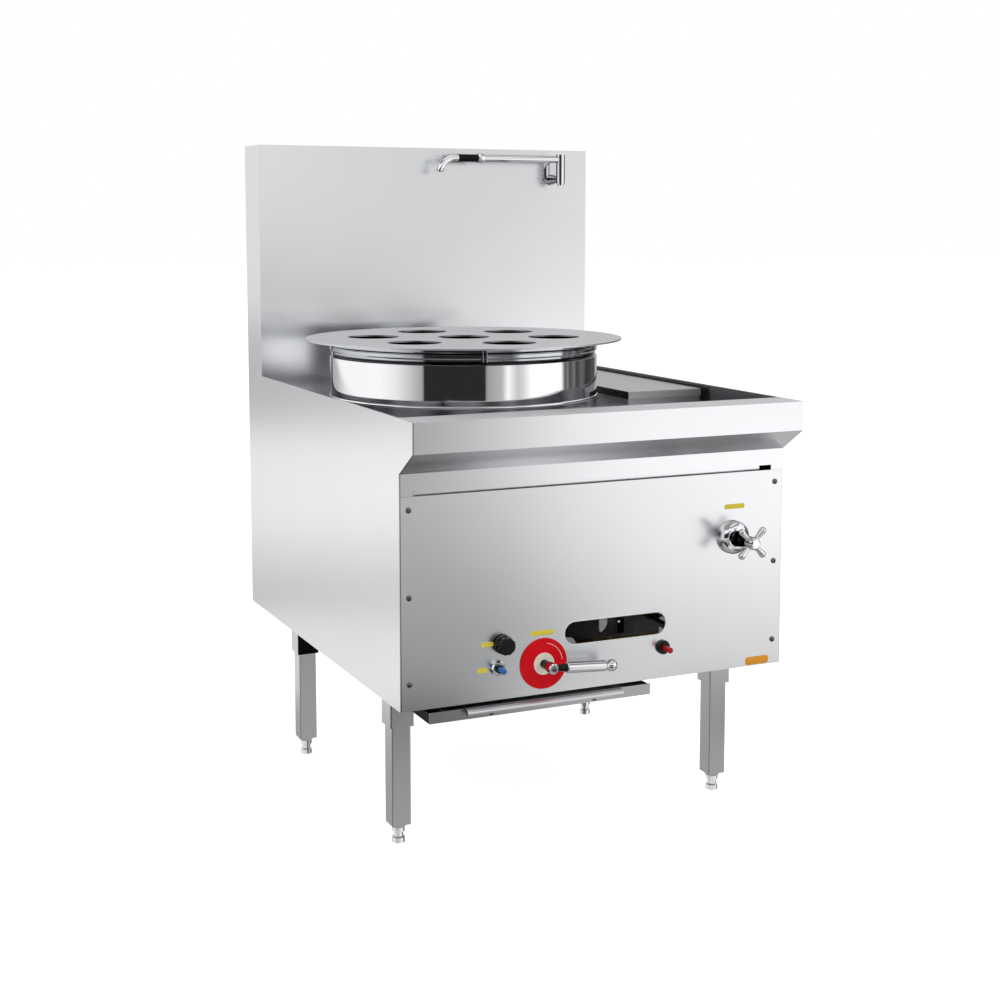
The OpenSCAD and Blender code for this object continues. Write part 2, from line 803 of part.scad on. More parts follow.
// Float valve: a brass body through the box's front wall, with two ears for the arm's pin
module float_valve() {
    color("goldenrod") placed() {
        difference() {
            union() {
                bar_y(tap_x, box_y - 14, box_y + 2 * sheet, float_z, valve_d);
                bar_y(tap_x, box_y + sheet, box_y + 26, float_z, valve_d + 6);
                for (side = [-1, 1])
                    block([tap_x + side * 7 - 2, box_y + 24, float_z - 6],
                        [tap_x + side * 7 + 2, float_pivot_y + 6, float_z + 6]);
            }
            bar_y(tap_x, box_y - 15, box_y + 12, float_z, valve_d - 6);
        }
        bar_x(tap_x - 9, tap_x + 9, float_pivot_y, float_z, float_pin_d);
    }
}

// Float arm: an eye on the valve's pin, a rod and a hollow ball
module float_arm() {
    ball_y = float_pivot_y + float_arm_l;
    ball_z = box_z + sheet + float_d / 2 + 6;
    lean = atan2(float_z - ball_z, float_arm_l);
    color("peru") placed() {
        difference() {
            union() {
                bar_x(tap_x - 4, tap_x + 4, float_pivot_y, float_z, float_pin_d + 6);
                translate([tap_x, float_pivot_y, float_z])
                    rotate([-90 - lean, 0, 0])
                        cylinder(h = norm([float_arm_l, float_z - ball_z]), d = 6);
            }
            bar_x(tap_x - 5, tap_x + 5, float_pivot_y, float_z, float_pin_d + 2 * shaft_gap);
        }
        translate([tap_x, ball_y, ball_z]) sphere(d = float_d);
    }
}

module balance_pipe() {
    color("silver") placed() difference() {
        bar_x(pot_x + pot_r - 6, box_x + 6, pot_y, balance_z, balance_d);
        bar_x(pot_x + pot_r - 7, box_x + 7, pot_y, balance_z, balance_d - 4);
    }
}

// Furnace wall: a rolled skirt under the well with a window at the front and a flue duct at the back
module furnace_wall() {
    top = floor_z - sheet;
    duct_z = top - 12 - duct_h;
    duct_end = splash_y + 15;
    color("dimgray") placed() difference() {
        union() {
            bar_z(pot_x, pot_y, furnace_z, top, furnace_r * 2);
            block([pot_x - duct_w / 2, pot_y, duct_z], [pot_x + duct_w / 2, duct_end, duct_z + duct_h]);
        }
        bar_z(pot_x, pot_y, furnace_z - 1, top + 1, (furnace_r - sheet) * 2);
        block([pot_x - duct_w / 2 + sheet, pot_y, duct_z + sheet],
            [pot_x + duct_w / 2 - sheet, duct_end + 1, duct_z + duct_h - sheet]);
        block([window_x - window_l / 2, pot_y - furnace_r - 1, furnace_z + 6],
            [window_x + window_l / 2, pot_y - furnace_r / 2, window_z + window_h]);
        bar_y(pilot_x, pot_y - furnace_r, pot_y, pilot_z, pilot_tube_d + 2 * hole_gap + 1);
        bar_x(pot_x, pot_x + furnace_r + 1, pot_y, balance_z, balance_d + 2 * hole_gap);
    }
}

// Burner: a cast drum with arms, each with two bosses for jets
module burner_body() {
    arm_r = arm_d / 2;
    arm_z = drum_z + drum_h - arm_r - 2;
    arm_tip = [for (a = [0 : 15 : 90]) [arm_r * cos(a), arm_l - arm_r + arm_r * sin(a)]];
    color("dimgray") placed() translate([pot_x, pot_y, 0]) difference() {
        union() {
            bar_z(0, 0, drum_z, jet_z, drum_d);
            for (i = [0 : arm_count - 1])
                rotate([0, 0, (i + 0.5) * 360 / arm_count]) {
                    translate([0, 0, arm_z])
                        rotate([0, 90, 0])
                            rotate_extrude() polygon(concat([[0, drum_d / 4], [arm_r, drum_d / 4]], arm_tip));
                    bar_z(jet_rows[0], 0, jet_z - 1, jet_z + 3, jet_d + 4);
                    bar_z(jet_rows[1], 0, arm_z, jet_z + 3, jet_d + 4);
                }
            bar_z(0, 0, jet_z - 1, jet_z + 3, jet_d + 8);
        }
        bar_z(-inlet_to_axis, 0, drum_z - 9, drum_z + 6, gas_pipe_d + 0.2);
    }
}

// Jets: turned brass nozzles with a conical top and a small bore
module jet() {
    translate([0, 0, jet_z + 3])
        rotate_extrude()
            polygon([
                [1.2, 0], [jet_d / 2, 0], [jet_d / 2, jet_h * 0.55], [jet_d / 3, jet_h * 0.65],
                [jet_d / 4, jet_h], [1.2, jet_h]
            ]);
}

module burner_jets() {
    color("goldenrod") placed() translate([pot_x, pot_y, 0]) {
        jet();
        for (i = [0 : arm_count - 1], r = jet_rows)
            rotate([0, 0, (i + 0.5) * 360 / arm_count]) translate([r, 0, 0]) jet();
    }
}

// Burner stand: two flat bars on the box beams and two posts up to the drum
module burner_stand() {
    bar_w = 25;
    bar_t = 6;
    post_d = 16;
    offset_x = drum_d / 2 - post_d / 2 - 2;
    color("dimgray") placed()
        for (side = [-1, 1]) {
            block([pot_x + side * offset_x - bar_w / 2, leg_y[0] - beam_w / 2, beam_z],
                [pot_x + side * offset_x + bar_w / 2, leg_y[1] + beam_w / 2, beam_z + bar_t]);
            bar_z(pot_x + side * offset_x, pot_y, beam_z + bar_t, drum_z, post_d);
        }
}

// Pilot burner: a thin tube from the pilot valve to a small head beside the burner
module pilot_burner() {
    head_y = pot_y - pilot_to_axis;
    color("goldenrod") placed() difference() {
        union() {
            bar_y(pilot_x, pilot_body_l, head_y, pilot_z, pilot_tube_d);
            bar_z(pilot_x, head_y, pilot_z - pilot_head_down, pilot_z + pilot_head_up, pilot_head_d);
        }
        bar_z(pilot_x, head_y, pilot_z + pilot_tube_d, pilot_z + pilot_head_up + 1, pilot_head_d - 5);
    }
}

// Main gas pipe: from the inlet behind the back panel to the valve's right side
module gas_pipe() {
    bore = gas_pipe_d - 2 * pipe_wall;
    valve_end = lever_x + valve_reach;
    color("goldenrod") placed() difference() {
        union() {
            bar_y(inlet_x, pipe_y, bench_d, gas_z, gas_pipe_d);
            bar_y(inlet_x, bench_d, back_y, gas_z, gas_thread_d);
            bar_x(valve_end, inlet_x, pipe_y, gas_z, gas_pipe_d);
            bar_z(inlet_x, pipe_y, gas_z - gas_pipe_d / 2 - 4, gas_z + gas_pipe_d / 2 + 4, gas_pipe_d + 8);
            bar_y(inlet_x, pipe_y, pipe_y + 24, gas_z, gas_pipe_d + 6);
            bar_x(inlet_x - 24, inlet_x, pipe_y, gas_z, gas_pipe_d + 6);
        }
        bar_y(inlet_x, pipe_y, back_y + 1, gas_z, bore);
        bar_x(valve_end - 1, inlet_x, pipe_y, gas_z, bore);
    }
}

// Main gas valve: an angle body with its bonnet against the panel
module gas_valve() {
    color("goldenrod") placed() difference() {
        union() {
            bar_z(lever_x, pipe_y, gas_z - 22, gas_z + 22, gas_pipe_d + 16);
            bar_x(lever_x, lever_x + valve_reach, pipe_y, gas_z, gas_pipe_d + 8);
            bar_y(lever_x, pipe_y, pipe_y + valve_reach, gas_z, gas_pipe_d + 8);
            bar_y(lever_x, sheet, pipe_y, gas_z, stem_d + 14);
            translate([lever_x, sheet + 8, gas_z])
                rotate([90, 0, 0]) cylinder(h = 8, d = stem_d + 26, $fn = 6);
        }
        bar_y(lever_x, sheet - 1, stem_end_y + 1, gas_z, stem_d + 2 * shaft_gap);
        bar_x(lever_x + 22, lever_x + valve_reach + 1, pipe_y, gas_z, gas_pipe_d - 2 * pipe_wall);
        bar_y(lever_x, pipe_y + 18, pipe_y + valve_reach + 1, gas_z, gas_pipe_d - 2 * pipe_wall);
    }
}

// Burner pipe: from the valve's back to the drum's inlet
module burner_pipe() {
    bore = gas_pipe_d - 2 * pipe_wall;
    start = pipe_y + valve_reach;
    bend_y = start + elbow_h;
    up_x = pot_x - inlet_to_axis;
    bends = abs(up_x - lever_x) > 0.1;
    low_z = gas_z - gas_pipe_d / 2 - 3;
    color("goldenrod") placed() difference() {
        union() {
            bar_y(up_x, bends ? bend_y : start, pot_y, gas_z, gas_pipe_d);
            if (bends) {
                bar_y(lever_x, start, bend_y, gas_z, gas_pipe_d);
                bar_x(min(lever_x, up_x), max(lever_x, up_x), bend_y, gas_z, gas_pipe_d);
                for (x = [lever_x, up_x])
                    bar_z(x, bend_y, low_z, gas_z + gas_pipe_d / 2 + 3, gas_pipe_d + elbow_wall);
            }
            bar_z(up_x, pot_y, low_z, drum_z + 6, gas_pipe_d);
            bar_z(up_x, pot_y, low_z, gas_z + gas_pipe_d / 2 + 3, gas_pipe_d + elbow_wall);
        }
        bar_y(lever_x, start - 1, bends ? bend_y : pot_y, gas_z, bore);
        if (bends) {
            bar_x(min(lever_x, up_x), max(lever_x, up_x), bend_y, gas_z, bore);
            bar_y(up_x, bend_y, pot_y, gas_z, bore);
        }
        bar_z(up_x, pot_y, gas_z, drum_z + 7, bore);
    }
}

module dial_plate() {
    color("crimson") placed() difference() {
        bar_y(lever_x, -dial_t, 0, gas_z, dial_d);
        bar_y(lever_x, -dial_t - 1, 1, gas_z, stem_d + 2);
    }
}

module dial_ring() {
    color("beige") placed() difference() {
        bar_y(lever_x, -dial_t - ring_t, -dial_t, gas_z, dial_ring_d);
        bar_y(lever_x, -dial_t - ring_t - 1, 0, gas_z, stem_d + 2);
    }
}

// Valve stem: a brass shaft with a stepped shoulder behind the lever's hub
module valve_stem() {
    color("peru") placed() {
        bar_y(lever_x, -hub_out + hub_h, stem_end_y, gas_z, stem_d);
        bar_y(lever_x, -hub_out + hub_h, -dial_t - ring_t - 6, gas_z, stem_d + 3);
    }
}

// Lever hub: a short boss with a countersunk screw in its face
module lever_hub() {
    color("silver") placed()
        turned_out(lever_x, gas_z, [
            [0, hub_out - hub_h], [hub_d / 2, hub_out - hub_h], [hub_d / 2, hub_out - 2],
            [hub_d / 2 - 2, hub_out], [6, hub_out], [5, hub_out - 2], [4.5, hub_out - 2],
            [3, hub_out - 0.6], [0, hub_out - 0.6]
        ]);
}

// Turns a piece that lies along the lever about the stem, down to where the lever rests
module turned_lever() {
    translate([lever_x, 0, gas_z]) rotate([0, lever_turn, 0]) children();
}

// Lever neck: a tapered sleeve that widens from the hub to the grip
module lever_neck() {
    color("black") placed() difference() {
        turned_lever()
            translate([hub_d / 4, hub_mid_y, 0])
                rotate([0, 90, 0])
                    cylinder(h = grip_start - hub_d / 4, d1 = grip_d * 0.5, d2 = grip_d * 0.8);
        bar_y(lever_x, -hub_out, -hub_out + hub_h, gas_z, hub_d);
    }
}

// Lever grip: a turned handle with a short waist before the ball
module lever_grip() {
    r = grip_d / 2;
    ball_x = lever_l - ball_d / 2;
    neck_x = ball_x - ball_d / 2;
    color("silver") placed() turned_lever()
        translate([0, hub_mid_y, 0]) {
            rotate([0, 90, 0]) rotate_extrude()
                polygon([
                    [0, grip_start], [r - 1, grip_start], [r, grip_start + 2],
                    [r, neck_x - 4], [r - 1, neck_x - 2], [r * 0.6, neck_x - 1],
                    [r * 0.6, ball_x - 4], [0, ball_x - 4]
                ]);
            translate([ball_x, 0, 0]) sphere(d = ball_d);
        }
}

module pilot_valve() {
    color("goldenrod") placed() difference() {
        union() {
            bar_y(pilot_x, sheet, pilot_body_l, pilot_z, 22);
            bar_y(pilot_x, sheet, 9, pilot_z, 30);
        }
        bar_y(pilot_x, 0, pilot_body_l - 12, pilot_z, pilot_shaft_d + 2 * shaft_gap);
    }
}

// Pilot knob: a fluted grip on a skirt, with its shaft in the pilot valve
module pilot_knob() {
    r = knob_d / 2;
    skirt_y = -4;
    color("black") placed() {
        difference() {
            turned_out(pilot_x, pilot_z, [
                [0, -skirt_y], [r, -skirt_y], [r, 9], [r - 1.5, 12], [r - 1.5, knob_out - 3],
                [r - 4, knob_out], [0, knob_out]
            ]);
            for (i = [0 : flute_count - 1])
                translate([pilot_x, 0, pilot_z])
                    rotate([0, i * 360 / flute_count, 0])
                        bar_y(r + 2.2, -knob_out - 1, -12, 0, 10);
        }
        bar_y(pilot_x, skirt_y, pilot_body_l - 14, pilot_z, pilot_shaft_d);
    }
}

// Button bezel: a threaded body behind the panel and a rounded collar in front
module bezel(x, z, out, bore) {
    difference() {
        union() {
            turned_out(x, z, [
                [0, 0], [bezel_d / 2, 0], [bezel_d / 2, out - 3], [bezel_d / 2 - 2, out], [0, out]
            ]);
            bar_y(x, 0, button_body_l, z, guide_d);
            bar_y(x, sheet, sheet + 6, z, guide_d + 8);
        }
        bar_y(x, -out - 1, button_body_l - 6, z, bore);
    }
}

// Push button: a round cap that slides in its bezel
module push_button(x, z) {
    turned_out(x, z, [
        [0, -button_body_l + 16], [button_d / 2, -button_body_l + 16],
        [button_d / 2, button_out - 2], [button_d / 2 - 2, button_out], [0, button_out]
    ]);
}

module igniter_bezel() {
    color("silver") placed() bezel(igniter_x, button_z, 9, sleeve_bore);
}

module igniter_guide() {
    color("black") placed() difference() {
        turned_out(igniter_x, button_z, [
            [0, -10], [sleeve_bore / 2 - 0.1, -10], [sleeve_bore / 2 - 0.1, 14], [0, 14]
        ]);
        bar_y(igniter_x, -15, 11, button_z, button_d + 2 * shaft_gap);
    }
}

module igniter_button() {
    color("royalblue") placed() push_button(igniter_x, button_z);
}

module safety_bezel() {
    color("black") placed() bezel(safety_x, button_z, safety_bezel_out, button_d + 2 * shaft_gap);
}

module safety_button() {
    color("crimson") placed() push_button(safety_x, button_z);
}

// Tap body: a brass valve behind the panel with an inlet at its back and an outlet on top
module tap_body() {
    color("goldenrod") placed() difference() {
        union() {
            bar_y(tap_x, sheet, tap_body_l, tap_z, tap_body_d);
            bar_y(tap_x, sheet, sheet + 8, tap_z, tap_nut_d);
            bar_z(tap_x, pipe_y, tap_z - tap_chest_h / 2, tap_z + tap_chest_h / 2, tap_chest_d);
            bar_z(tap_x, pipe_y, tap_z, tap_z + tap_boss_h, water_pipe_d + elbow_wall);
        }
        bar_y(tap_x, 0, pipe_y - 12, tap_z, tap_stem_d + 2 * shaft_gap);
        bar_z(tap_x, pipe_y, tap_z + 8, tap_z + tap_boss_h + 1, water_pipe_d - 2 * pipe_wall);
        bar_y(tap_x, pipe_y + 8, tap_body_l + 1, tap_z, water_pipe_d - 2 * pipe_wall);
    }
}

// Tap flange: a domed cover over the hole in the panel
module tap_flange() {
    r = flange_d / 2;
    dome = [for (a = [0 : 10 : 90]) [17 + (r - 17) * cos(a), 4 + 15 * sin(a)]];
    color("silver") placed() difference() {
        turned_out(tap_x, tap_z, concat(
            [[tap_stem_d / 2 + 1, 0], [r, 0]], dome, [[15, 19], [14, 30], [tap_stem_d / 2 + 1, 30]]
        ));
        bar_y(tap_x, -31, 1, tap_z, tap_stem_d + 2);
    }
}

// Tap handle: four round-ended arms on a hub, with a button cap and the spindle behind
module tap_handle() {
    cross_y = -tap_out + 14;
    tip_r = cross_d / 2;
    root_r = tip_r * 0.65;
    tip_arc = [for (a = [0 : 15 : 75]) [tip_r * cos(a), cross_l - tip_r + tip_r * sin(a)]];
    color("silver") placed() {
        turned_out(tap_x, tap_z, [
            [0, 32], [12, 32], [13, 36], [10, 44], [9, 56], [12, 60], [12, 75], [11.5, 77],
            [10.5, 78], [10, tap_out - 1], [8, tap_out], [0, tap_out]
        ]);
        bar_y(tap_x, -33, pipe_y - 14, tap_z, tap_stem_d);
        for (i = [0 : 3])
            translate([tap_x, cross_y, tap_z])
                rotate([0, 45 + 90 * i, 0]) rotate([0, 90, 0])
                    rotate_extrude() polygon(concat(
                        [[0, root_r + 1], [root_r, root_r + 1], [root_r, 15]], tip_arc, [[0, cross_l]]));
    }
}

// Water pipe: from the inlet to the tap, with a riser inside the splashback
module water_pipe() {
    bore = water_pipe_d - 2 * pipe_wall;
    elbow_z = faucet_z - faucet_pipe_drop;
    color("peru") placed() difference() {
        union() {
            bar_y(tap_x, tap_body_l, bench_d, tap_z, water_pipe_d);
            bar_y(tap_x, bench_d, back_y, tap_z, water_thread_d);
            bar_z(tap_x, riser_y, tap_z - elbow_h / 2, tap_z + elbow_h / 2, water_pipe_d + elbow_wall);
            bar_x(tap_x, faucet_x, riser_y, tap_z, water_pipe_d);
            bar_z(faucet_x, riser_y, tap_z, elbow_z, riser_d);
            bar_z(faucet_x, riser_y, tap_z - elbow_h / 2, tap_z + elbow_h / 2, water_pipe_d + elbow_wall);
            bar_z(faucet_x, riser_y, elbow_z - elbow_h / 2, elbow_z + elbow_h / 2, riser_d + elbow_wall);
            bar_y(faucet_x, splash_y + sheet, riser_y, elbow_z, riser_d);
        }
        bar_y(tap_x, tap_body_l - 1, back_y + 1, tap_z, bore);
    }
}

// Fill pipe: from the top of the tap to the float valve
module fill_pipe() {
    color("peru") placed() {
        bar_z(tap_x, pipe_y, tap_z + tap_boss_h, float_z, water_pipe_d - 4);
        bar_z(tap_x, pipe_y, float_z - 12, float_z + 12, water_pipe_d);
        bar_y(tap_x, pipe_y, box_y - 14, float_z, water_pipe_d - 4);
    }
}

// Faucet mount: an oval wall plate, a stub and the upright body that the arm turns on
module faucet_mount() {
    stub_z = faucet_z - faucet_pipe_drop;
    plate_w = 33.5;
    color("silver") placed() {
        oval_upright(faucet_x, faucet_z - 32, plate_w, 52, splash_y - 6, splash_y);
        bar_y(faucet_x, faucet_y, splash_y, stub_z, faucet_d - 4);
        bar_y(faucet_x, splash_y - 20, splash_y - 5, stub_z, faucet_d + 2);
        bar_z(faucet_x, faucet_y, faucet_z - 55, faucet_z - 11, faucet_d);
        bar_z(faucet_x, faucet_y, faucet_z - 60, faucet_z - 50, faucet_d - 6);
        bar_z(faucet_x, faucet_y, faucet_z - 12, faucet_z - 2, swivel_d);
    }
}

module oval_upright(x, z, w, h, y0, y1) {
    block([x - w / 2, y0, z - (h - w) / 2], [x + w / 2, y1, z + (h - w) / 2]);
    for (side = [-1, 1])
        bar_y(x, y0, y1, z + side * (h - w) / 2, w);
}

// Faucet arm: a swivel head, a long tube, a collar and the bent spout
module faucet_arm() {
    tube_end = collar_at + collar_l + sleeve_l + 8;
    mouth_turn = 80;
    color("silver") placed() translate([faucet_x, faucet_y, faucet_z]) {
        difference() {
            bar_z(0, 0, -11 + seat_gap, 11, faucet_d);
            bar_z(0, 0, -12, -1, swivel_d + 2 * shaft_gap);
        }
        bar_x(-collar_at, -faucet_d / 2 + 2, 0, 0, spout_d);
        bar_x(-collar_at - collar_l, -collar_at, 0, 0, spout_d + 3);
        bar_x(-tube_end, -collar_at - collar_l - sleeve_l, 0, 0, spout_d);
        bar_x(-collar_at - collar_l - sleeve_l, -collar_at - collar_l + 1, 0, 0, spout_d - 4);
        translate([-tube_end, 0, -bend_r])
            rotate([90, 0, 0])
                rotate([0, 0, 90])
                    rotate_extrude(angle = mouth_turn)
                        translate([bend_r, 0]) difference() {
                            circle(d = spout_d);
                            circle(d = spout_d - 3);
                        }
    }
}

module faucet_grip() {
    start = collar_at + collar_l;
    color("black") placed() translate([faucet_x, faucet_y, faucet_z]) difference() {
        bar_x(-start - sleeve_l, -start, 0, 0, spout_d + 1.5);
        bar_x(-start - sleeve_l - 1, -start + 1, 0, 0, spout_d - 4 + 0.1);
    }
}

// Drip tray: a folded pan behind a wider front plate with a rolled pull
module drip_tray() {
    left = runner_x[0] + sheet + seat_gap;
    right = runner_x[1] - sheet - seat_gap;
    pull_x = tray_x + (tray_w - pull_l) / 2 + 2;
    lip = 5;
    fold_z = tray_z + tray_h - 2;
    color("silver") placed() {
        difference() {
            block([left, 0, tray_z], [right, tray_d, tray_z + tray_h]);
            block([left + sheet, sheet, tray_z + sheet], [right - sheet, tray_d - sheet, tray_z + tray_h + 1]);
        }
        block([tray_x, -sheet, tray_z], [tray_x + tray_w, 0, tray_z + tray_h]);
        sheet_along_x([
            [-sheet, fold_z], [-pull_out, fold_z - 3], [-pull_out, fold_z - 3 - lip]
        ], pull_x, pull_x + pull_l, sheet);
    }
}

// Runners: two channels under the beams that the tray slides in
module tray_runners() {
    low = tray_z - seat_gap - sheet;
    lip = 14;
    x0 = runner_x[0];
    x1 = runner_x[1];
    y0 = leg_y[0] - beam_w / 2;
    y1 = leg_y[1] + beam_w / 2;
    color("darkgray") placed() {
        sheet_along_y([[x0 + lip, low], [x0, low], [x0, cabinet_z], [x0 + lip, cabinet_z]], y0, y1, -sheet);
        sheet_along_y([[x1 - lip, low], [x1, low], [x1, cabinet_z], [x1 - lip, cabinet_z]], y0, y1, sheet);
    }
}

// Sizes of pieces behind the panel
stem_d = 14;
tap_stem_d = 12;
pilot_shaft_d = 8;
pilot_tube_d = 8;
pilot_body_l = 46;
balance_d = 26;
valve_d = 20;
float_pin_d = 5;
jet_rows = [58, 106];
valve_reach = 44;
stem_end_y = 58;
safety_bezel_out = 8;
pilot_to_axis = 96;
inlet_to_axis = 24.9;
pilot_head_d = 14;
pilot_head_up = 26;
pilot_head_down = 6;
tap_body_d = 30;
tap_boss_h = 30;
tap_nut_d = 44;
tap_chest_d = 38;
tap_chest_h = 40;
elbow_h = 28;
elbow_wall = 6;
ring_t = 2;
hub_h = 16;
hub_mid_y = -hub_out + hub_h / 2 + 1;
button_body_l = 34;
sleeve_bore = guide_d - 2;
tap_body_l = 110;
riser_d = 16;
faucet_pipe_drop = 45;
swivel_d = 11;
seam_w = 6.5;
seam_turn = 15.3;
leg_gap = 0.1;

left_side_panel();
right_side_panel();
front_rail();
slot_baffle();
front_panel();
panel_screws();
back_panel();
base_frame();
well_deck();
splashback();
splashback_back();
leg_sleeves();
leg_front_left();
leg_front_right();
leg_rear_left();
leg_rear_right();
foot_front_left();
foot_front_right();
foot_rear_left();
foot_rear_right();
boiler_pot();
steam_ring();
ring_collar();
perforated_plate();
float_box();
float_box_cover();
float_valve();
float_arm();
balance_pipe();
furnace_wall();
burner_body();
burner_jets();
burner_stand();
pilot_burner();
gas_pipe();
gas_valve();
burner_pipe();
dial_plate();
dial_ring();
valve_stem();
lever_hub();
lever_neck();
lever_grip();
pilot_valve();
pilot_knob();
igniter_bezel();
igniter_guide();
igniter_button();
safety_bezel();
safety_button();
tap_body();
tap_flange();
tap_handle();
water_pipe();
fill_pipe();
faucet_mount();
faucet_arm();
faucet_grip();
drip_tray();
tray_runners();
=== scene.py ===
# A gas dim sum steamer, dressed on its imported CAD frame, in the order in which it is put together.
# Lengths are metres on the frame's own axes: X to the right, Y to the back, Z up.
import math

import bmesh
import bpy
from mathutils import Matrix, Vector


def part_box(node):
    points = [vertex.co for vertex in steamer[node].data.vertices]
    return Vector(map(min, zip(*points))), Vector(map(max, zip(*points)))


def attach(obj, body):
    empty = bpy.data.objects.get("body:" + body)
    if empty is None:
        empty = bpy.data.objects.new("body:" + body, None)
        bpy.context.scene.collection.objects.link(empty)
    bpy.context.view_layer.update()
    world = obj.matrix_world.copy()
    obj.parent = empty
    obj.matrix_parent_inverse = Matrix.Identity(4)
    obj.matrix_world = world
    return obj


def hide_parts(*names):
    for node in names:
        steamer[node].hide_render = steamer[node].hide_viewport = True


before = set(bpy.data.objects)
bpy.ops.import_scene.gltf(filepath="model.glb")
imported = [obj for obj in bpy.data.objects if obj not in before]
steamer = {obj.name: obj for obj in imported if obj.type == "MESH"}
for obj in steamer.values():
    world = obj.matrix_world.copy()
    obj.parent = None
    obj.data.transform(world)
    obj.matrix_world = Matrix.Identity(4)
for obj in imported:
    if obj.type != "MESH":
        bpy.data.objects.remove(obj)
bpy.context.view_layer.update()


# Camera
# Stands where the photograph was taken: to the left of the front, a little above the rim,
# turned to the right and tipped slightly down.
lens_data = bpy.data.cameras.new("camera")
lens_data.sensor_width = 36.0
lens_data.lens = 58.182
lens_data.shift_y = -0.10
camera = bpy.data.objects.new("camera", lens_data)
camera.location = (-1.39032, -3.04424, 1.16613)
camera.rotation_euler = (math.radians(90.0 - 6.333), 0.0, math.radians(-24.605))
bpy.context.scene.collection.objects.link(camera)
bpy.context.scene.camera = camera


# Studio
# A white room with soft boxes round the steamer. Far off, to the left of its front, stands the
# dark side of the studio, which only polished metal shows. Each list is (degrees, level) pairs.
room_gain = 1.2
far_walls = [(-180, 0.58), (-163, 0.64), (-156, 0.78), (-150, 0.84), (-98, 0.86), (-82, 0.74),
             (-58, 0.32), (-56.5, 0.02), (-5.5, 0.02), (-4, 0.3), (9, 0.42), (14, 0.88),
             (18, 0.7), (23, 0.5), (28, 0.62), (36, 0.96), (60, 1.0), (67, 0.9), (71, 0.06),
             (75, 0.2), (78, 0.05), (84, 0.16), (88, 0.04), (97, 0.12), (106, 0.03), (128, 0.08),
             (134, 0.5), (180, 0.58)]
far_floor = [(-180, 0.36), (-160, 0.4), (-140, 0.7), (-98, 0.86), (-82, 0.74), (-58, 0.32),
             (-56.5, 0.02), (-5.5, 0.02), (-4, 0.3), (9, 0.14), (16, 0.12), (21, 0.38), (25, 0.94),
             (36, 0.88), (50, 1.0), (66, 0.94), (69, 0.08), (74, 0.22), (77, 0.07), (83, 0.24),
             (87, 0.06), (95, 0.14), (104, 0.03), (128, 0.08), (134, 0.4), (180, 0.36)]
mid_floor = [(-180, 0.6), (-162, 0.74), (-152, 0.84), (-128, 0.88), (-98, 0.9), (-60, 0.6),
             (0, 0.44), (8, 0.42), (14, 0.3), (18, 0.46), (23, 0.84), (28, 0.94), (34, 0.98),
             (60, 1.02), (90, 0.7), (180, 0.6)]
near_floor = [(-180, 0.6), (-128, 0.74), (-98, 0.74), (-60, 0.05), (-14, 0.0), (-4, 0.0),
              (4, 0.02), (11, 0.6), (17, 0.76), (24, 0.5), (35, 0.08), (60, 0.14), (98, 0.5),
              (180, 0.6)]


def shade(tree, kind, sockets=(), stops=(), **settings):
    """Adds one node: settings are its properties, sockets its values or the links into it, and
    stops, where it is a ramp, its pairs of a position and a grey level."""
    made = tree.nodes.new(kind)
    for name, value in settings.items():
        setattr(made, name, value)
    for name, value in dict(sockets).items():
        if isinstance(value, bpy.types.NodeSocket):
            tree.links.new(value, made.inputs[name])
        else:
            made.inputs[name].default_value = value
    if stops:
        elements = made.color_ramp.elements
        while len(elements) < len(stops):
            elements.new(0.5)
        for element, (position, level) in zip(elements, stops):
            element.position = position
            element.color = (level, level, level, 1.0)
    return made


def studio_walls(tree, place, stops):
    """How bright the studio is in the direction of a place: a ramp round the steamer, its stops
    in degrees from straight in front, to the right."""
    axes = shade(tree, "ShaderNodeSeparateXYZ", {0: place})
    behind = shade(tree, "ShaderNodeMath", {0: axes.outputs["Y"], 1: -1.0}, operation="MULTIPLY")
    bearing = shade(tree, "ShaderNodeMath", {0: axes.outputs["X"], 1: behind.outputs[0]},
                    operation="ARCTAN2")
    turn = shade(tree, "ShaderNodeMapRange", {
        "Value": bearing.outputs[0], "From Min": -math.pi, "From Max": math.pi})
    ramp = shade(tree, "ShaderNodeValToRGB", {"Fac": turn.outputs[0]},
                 stops=[((degrees + 180) / 360, level) for degrees, level in stops])
    return shade(tree, "ShaderNodeMath", {0: ramp.outputs["Color"], 1: room_gain},
                 operation="MULTIPLY").outputs[0]


def seen_straight(tree, path):
    """1 for what the eye sees, straight or through glass."""
    return shade(tree, "ShaderNodeMath", {
        0: path.outputs["Is Camera Ray"], 1: path.outputs["Is Transmission Ray"]},
        operation="MAXIMUM").outputs[0]


room = bpy.data.worlds.new("white studio")
bpy.context.scene.world = room
room.use_nodes = True
tree = room.node_tree
tree.nodes.clear()
direction = shade(tree, "ShaderNodeTexCoord").outputs["Generated"]
height = shade(tree, "ShaderNodeSeparateXYZ", {0: direction}).outputs["Z"]
upward = shade(tree, "ShaderNodeMapRange", {"Value": height})
overhead = shade(tree, "ShaderNodeValToRGB", {"Fac": upward.outputs[0]},
                 stops=[(0.0, 0.84), (0.66, 0.84), (0.7, 0.2), (0.86, 0.2), (0.9, 0.84)])
ceiling = shade(tree, "ShaderNodeMath", {0: overhead.outputs["Color"], 1: room_gain},
                operation="MULTIPLY")
above_walls = shade(tree, "ShaderNodeMapRange", {
    "Value": height, "From Min": 0.28, "From Max": 0.42}, interpolation_type="SMOOTHSTEP")
walls = shade(tree, "ShaderNodeMix", {
    "Factor": above_walls.outputs[0], "A": studio_walls(tree, direction, far_walls),
    "B": ceiling.outputs[0]})
path = shade(tree, "ShaderNodeLightPath")
fill_level = 0.55
for_metal = shade(tree, "ShaderNodeMix", {
    "Factor": path.outputs["Is Glossy Ray"], "A": fill_level, "B": walls.outputs[0]})
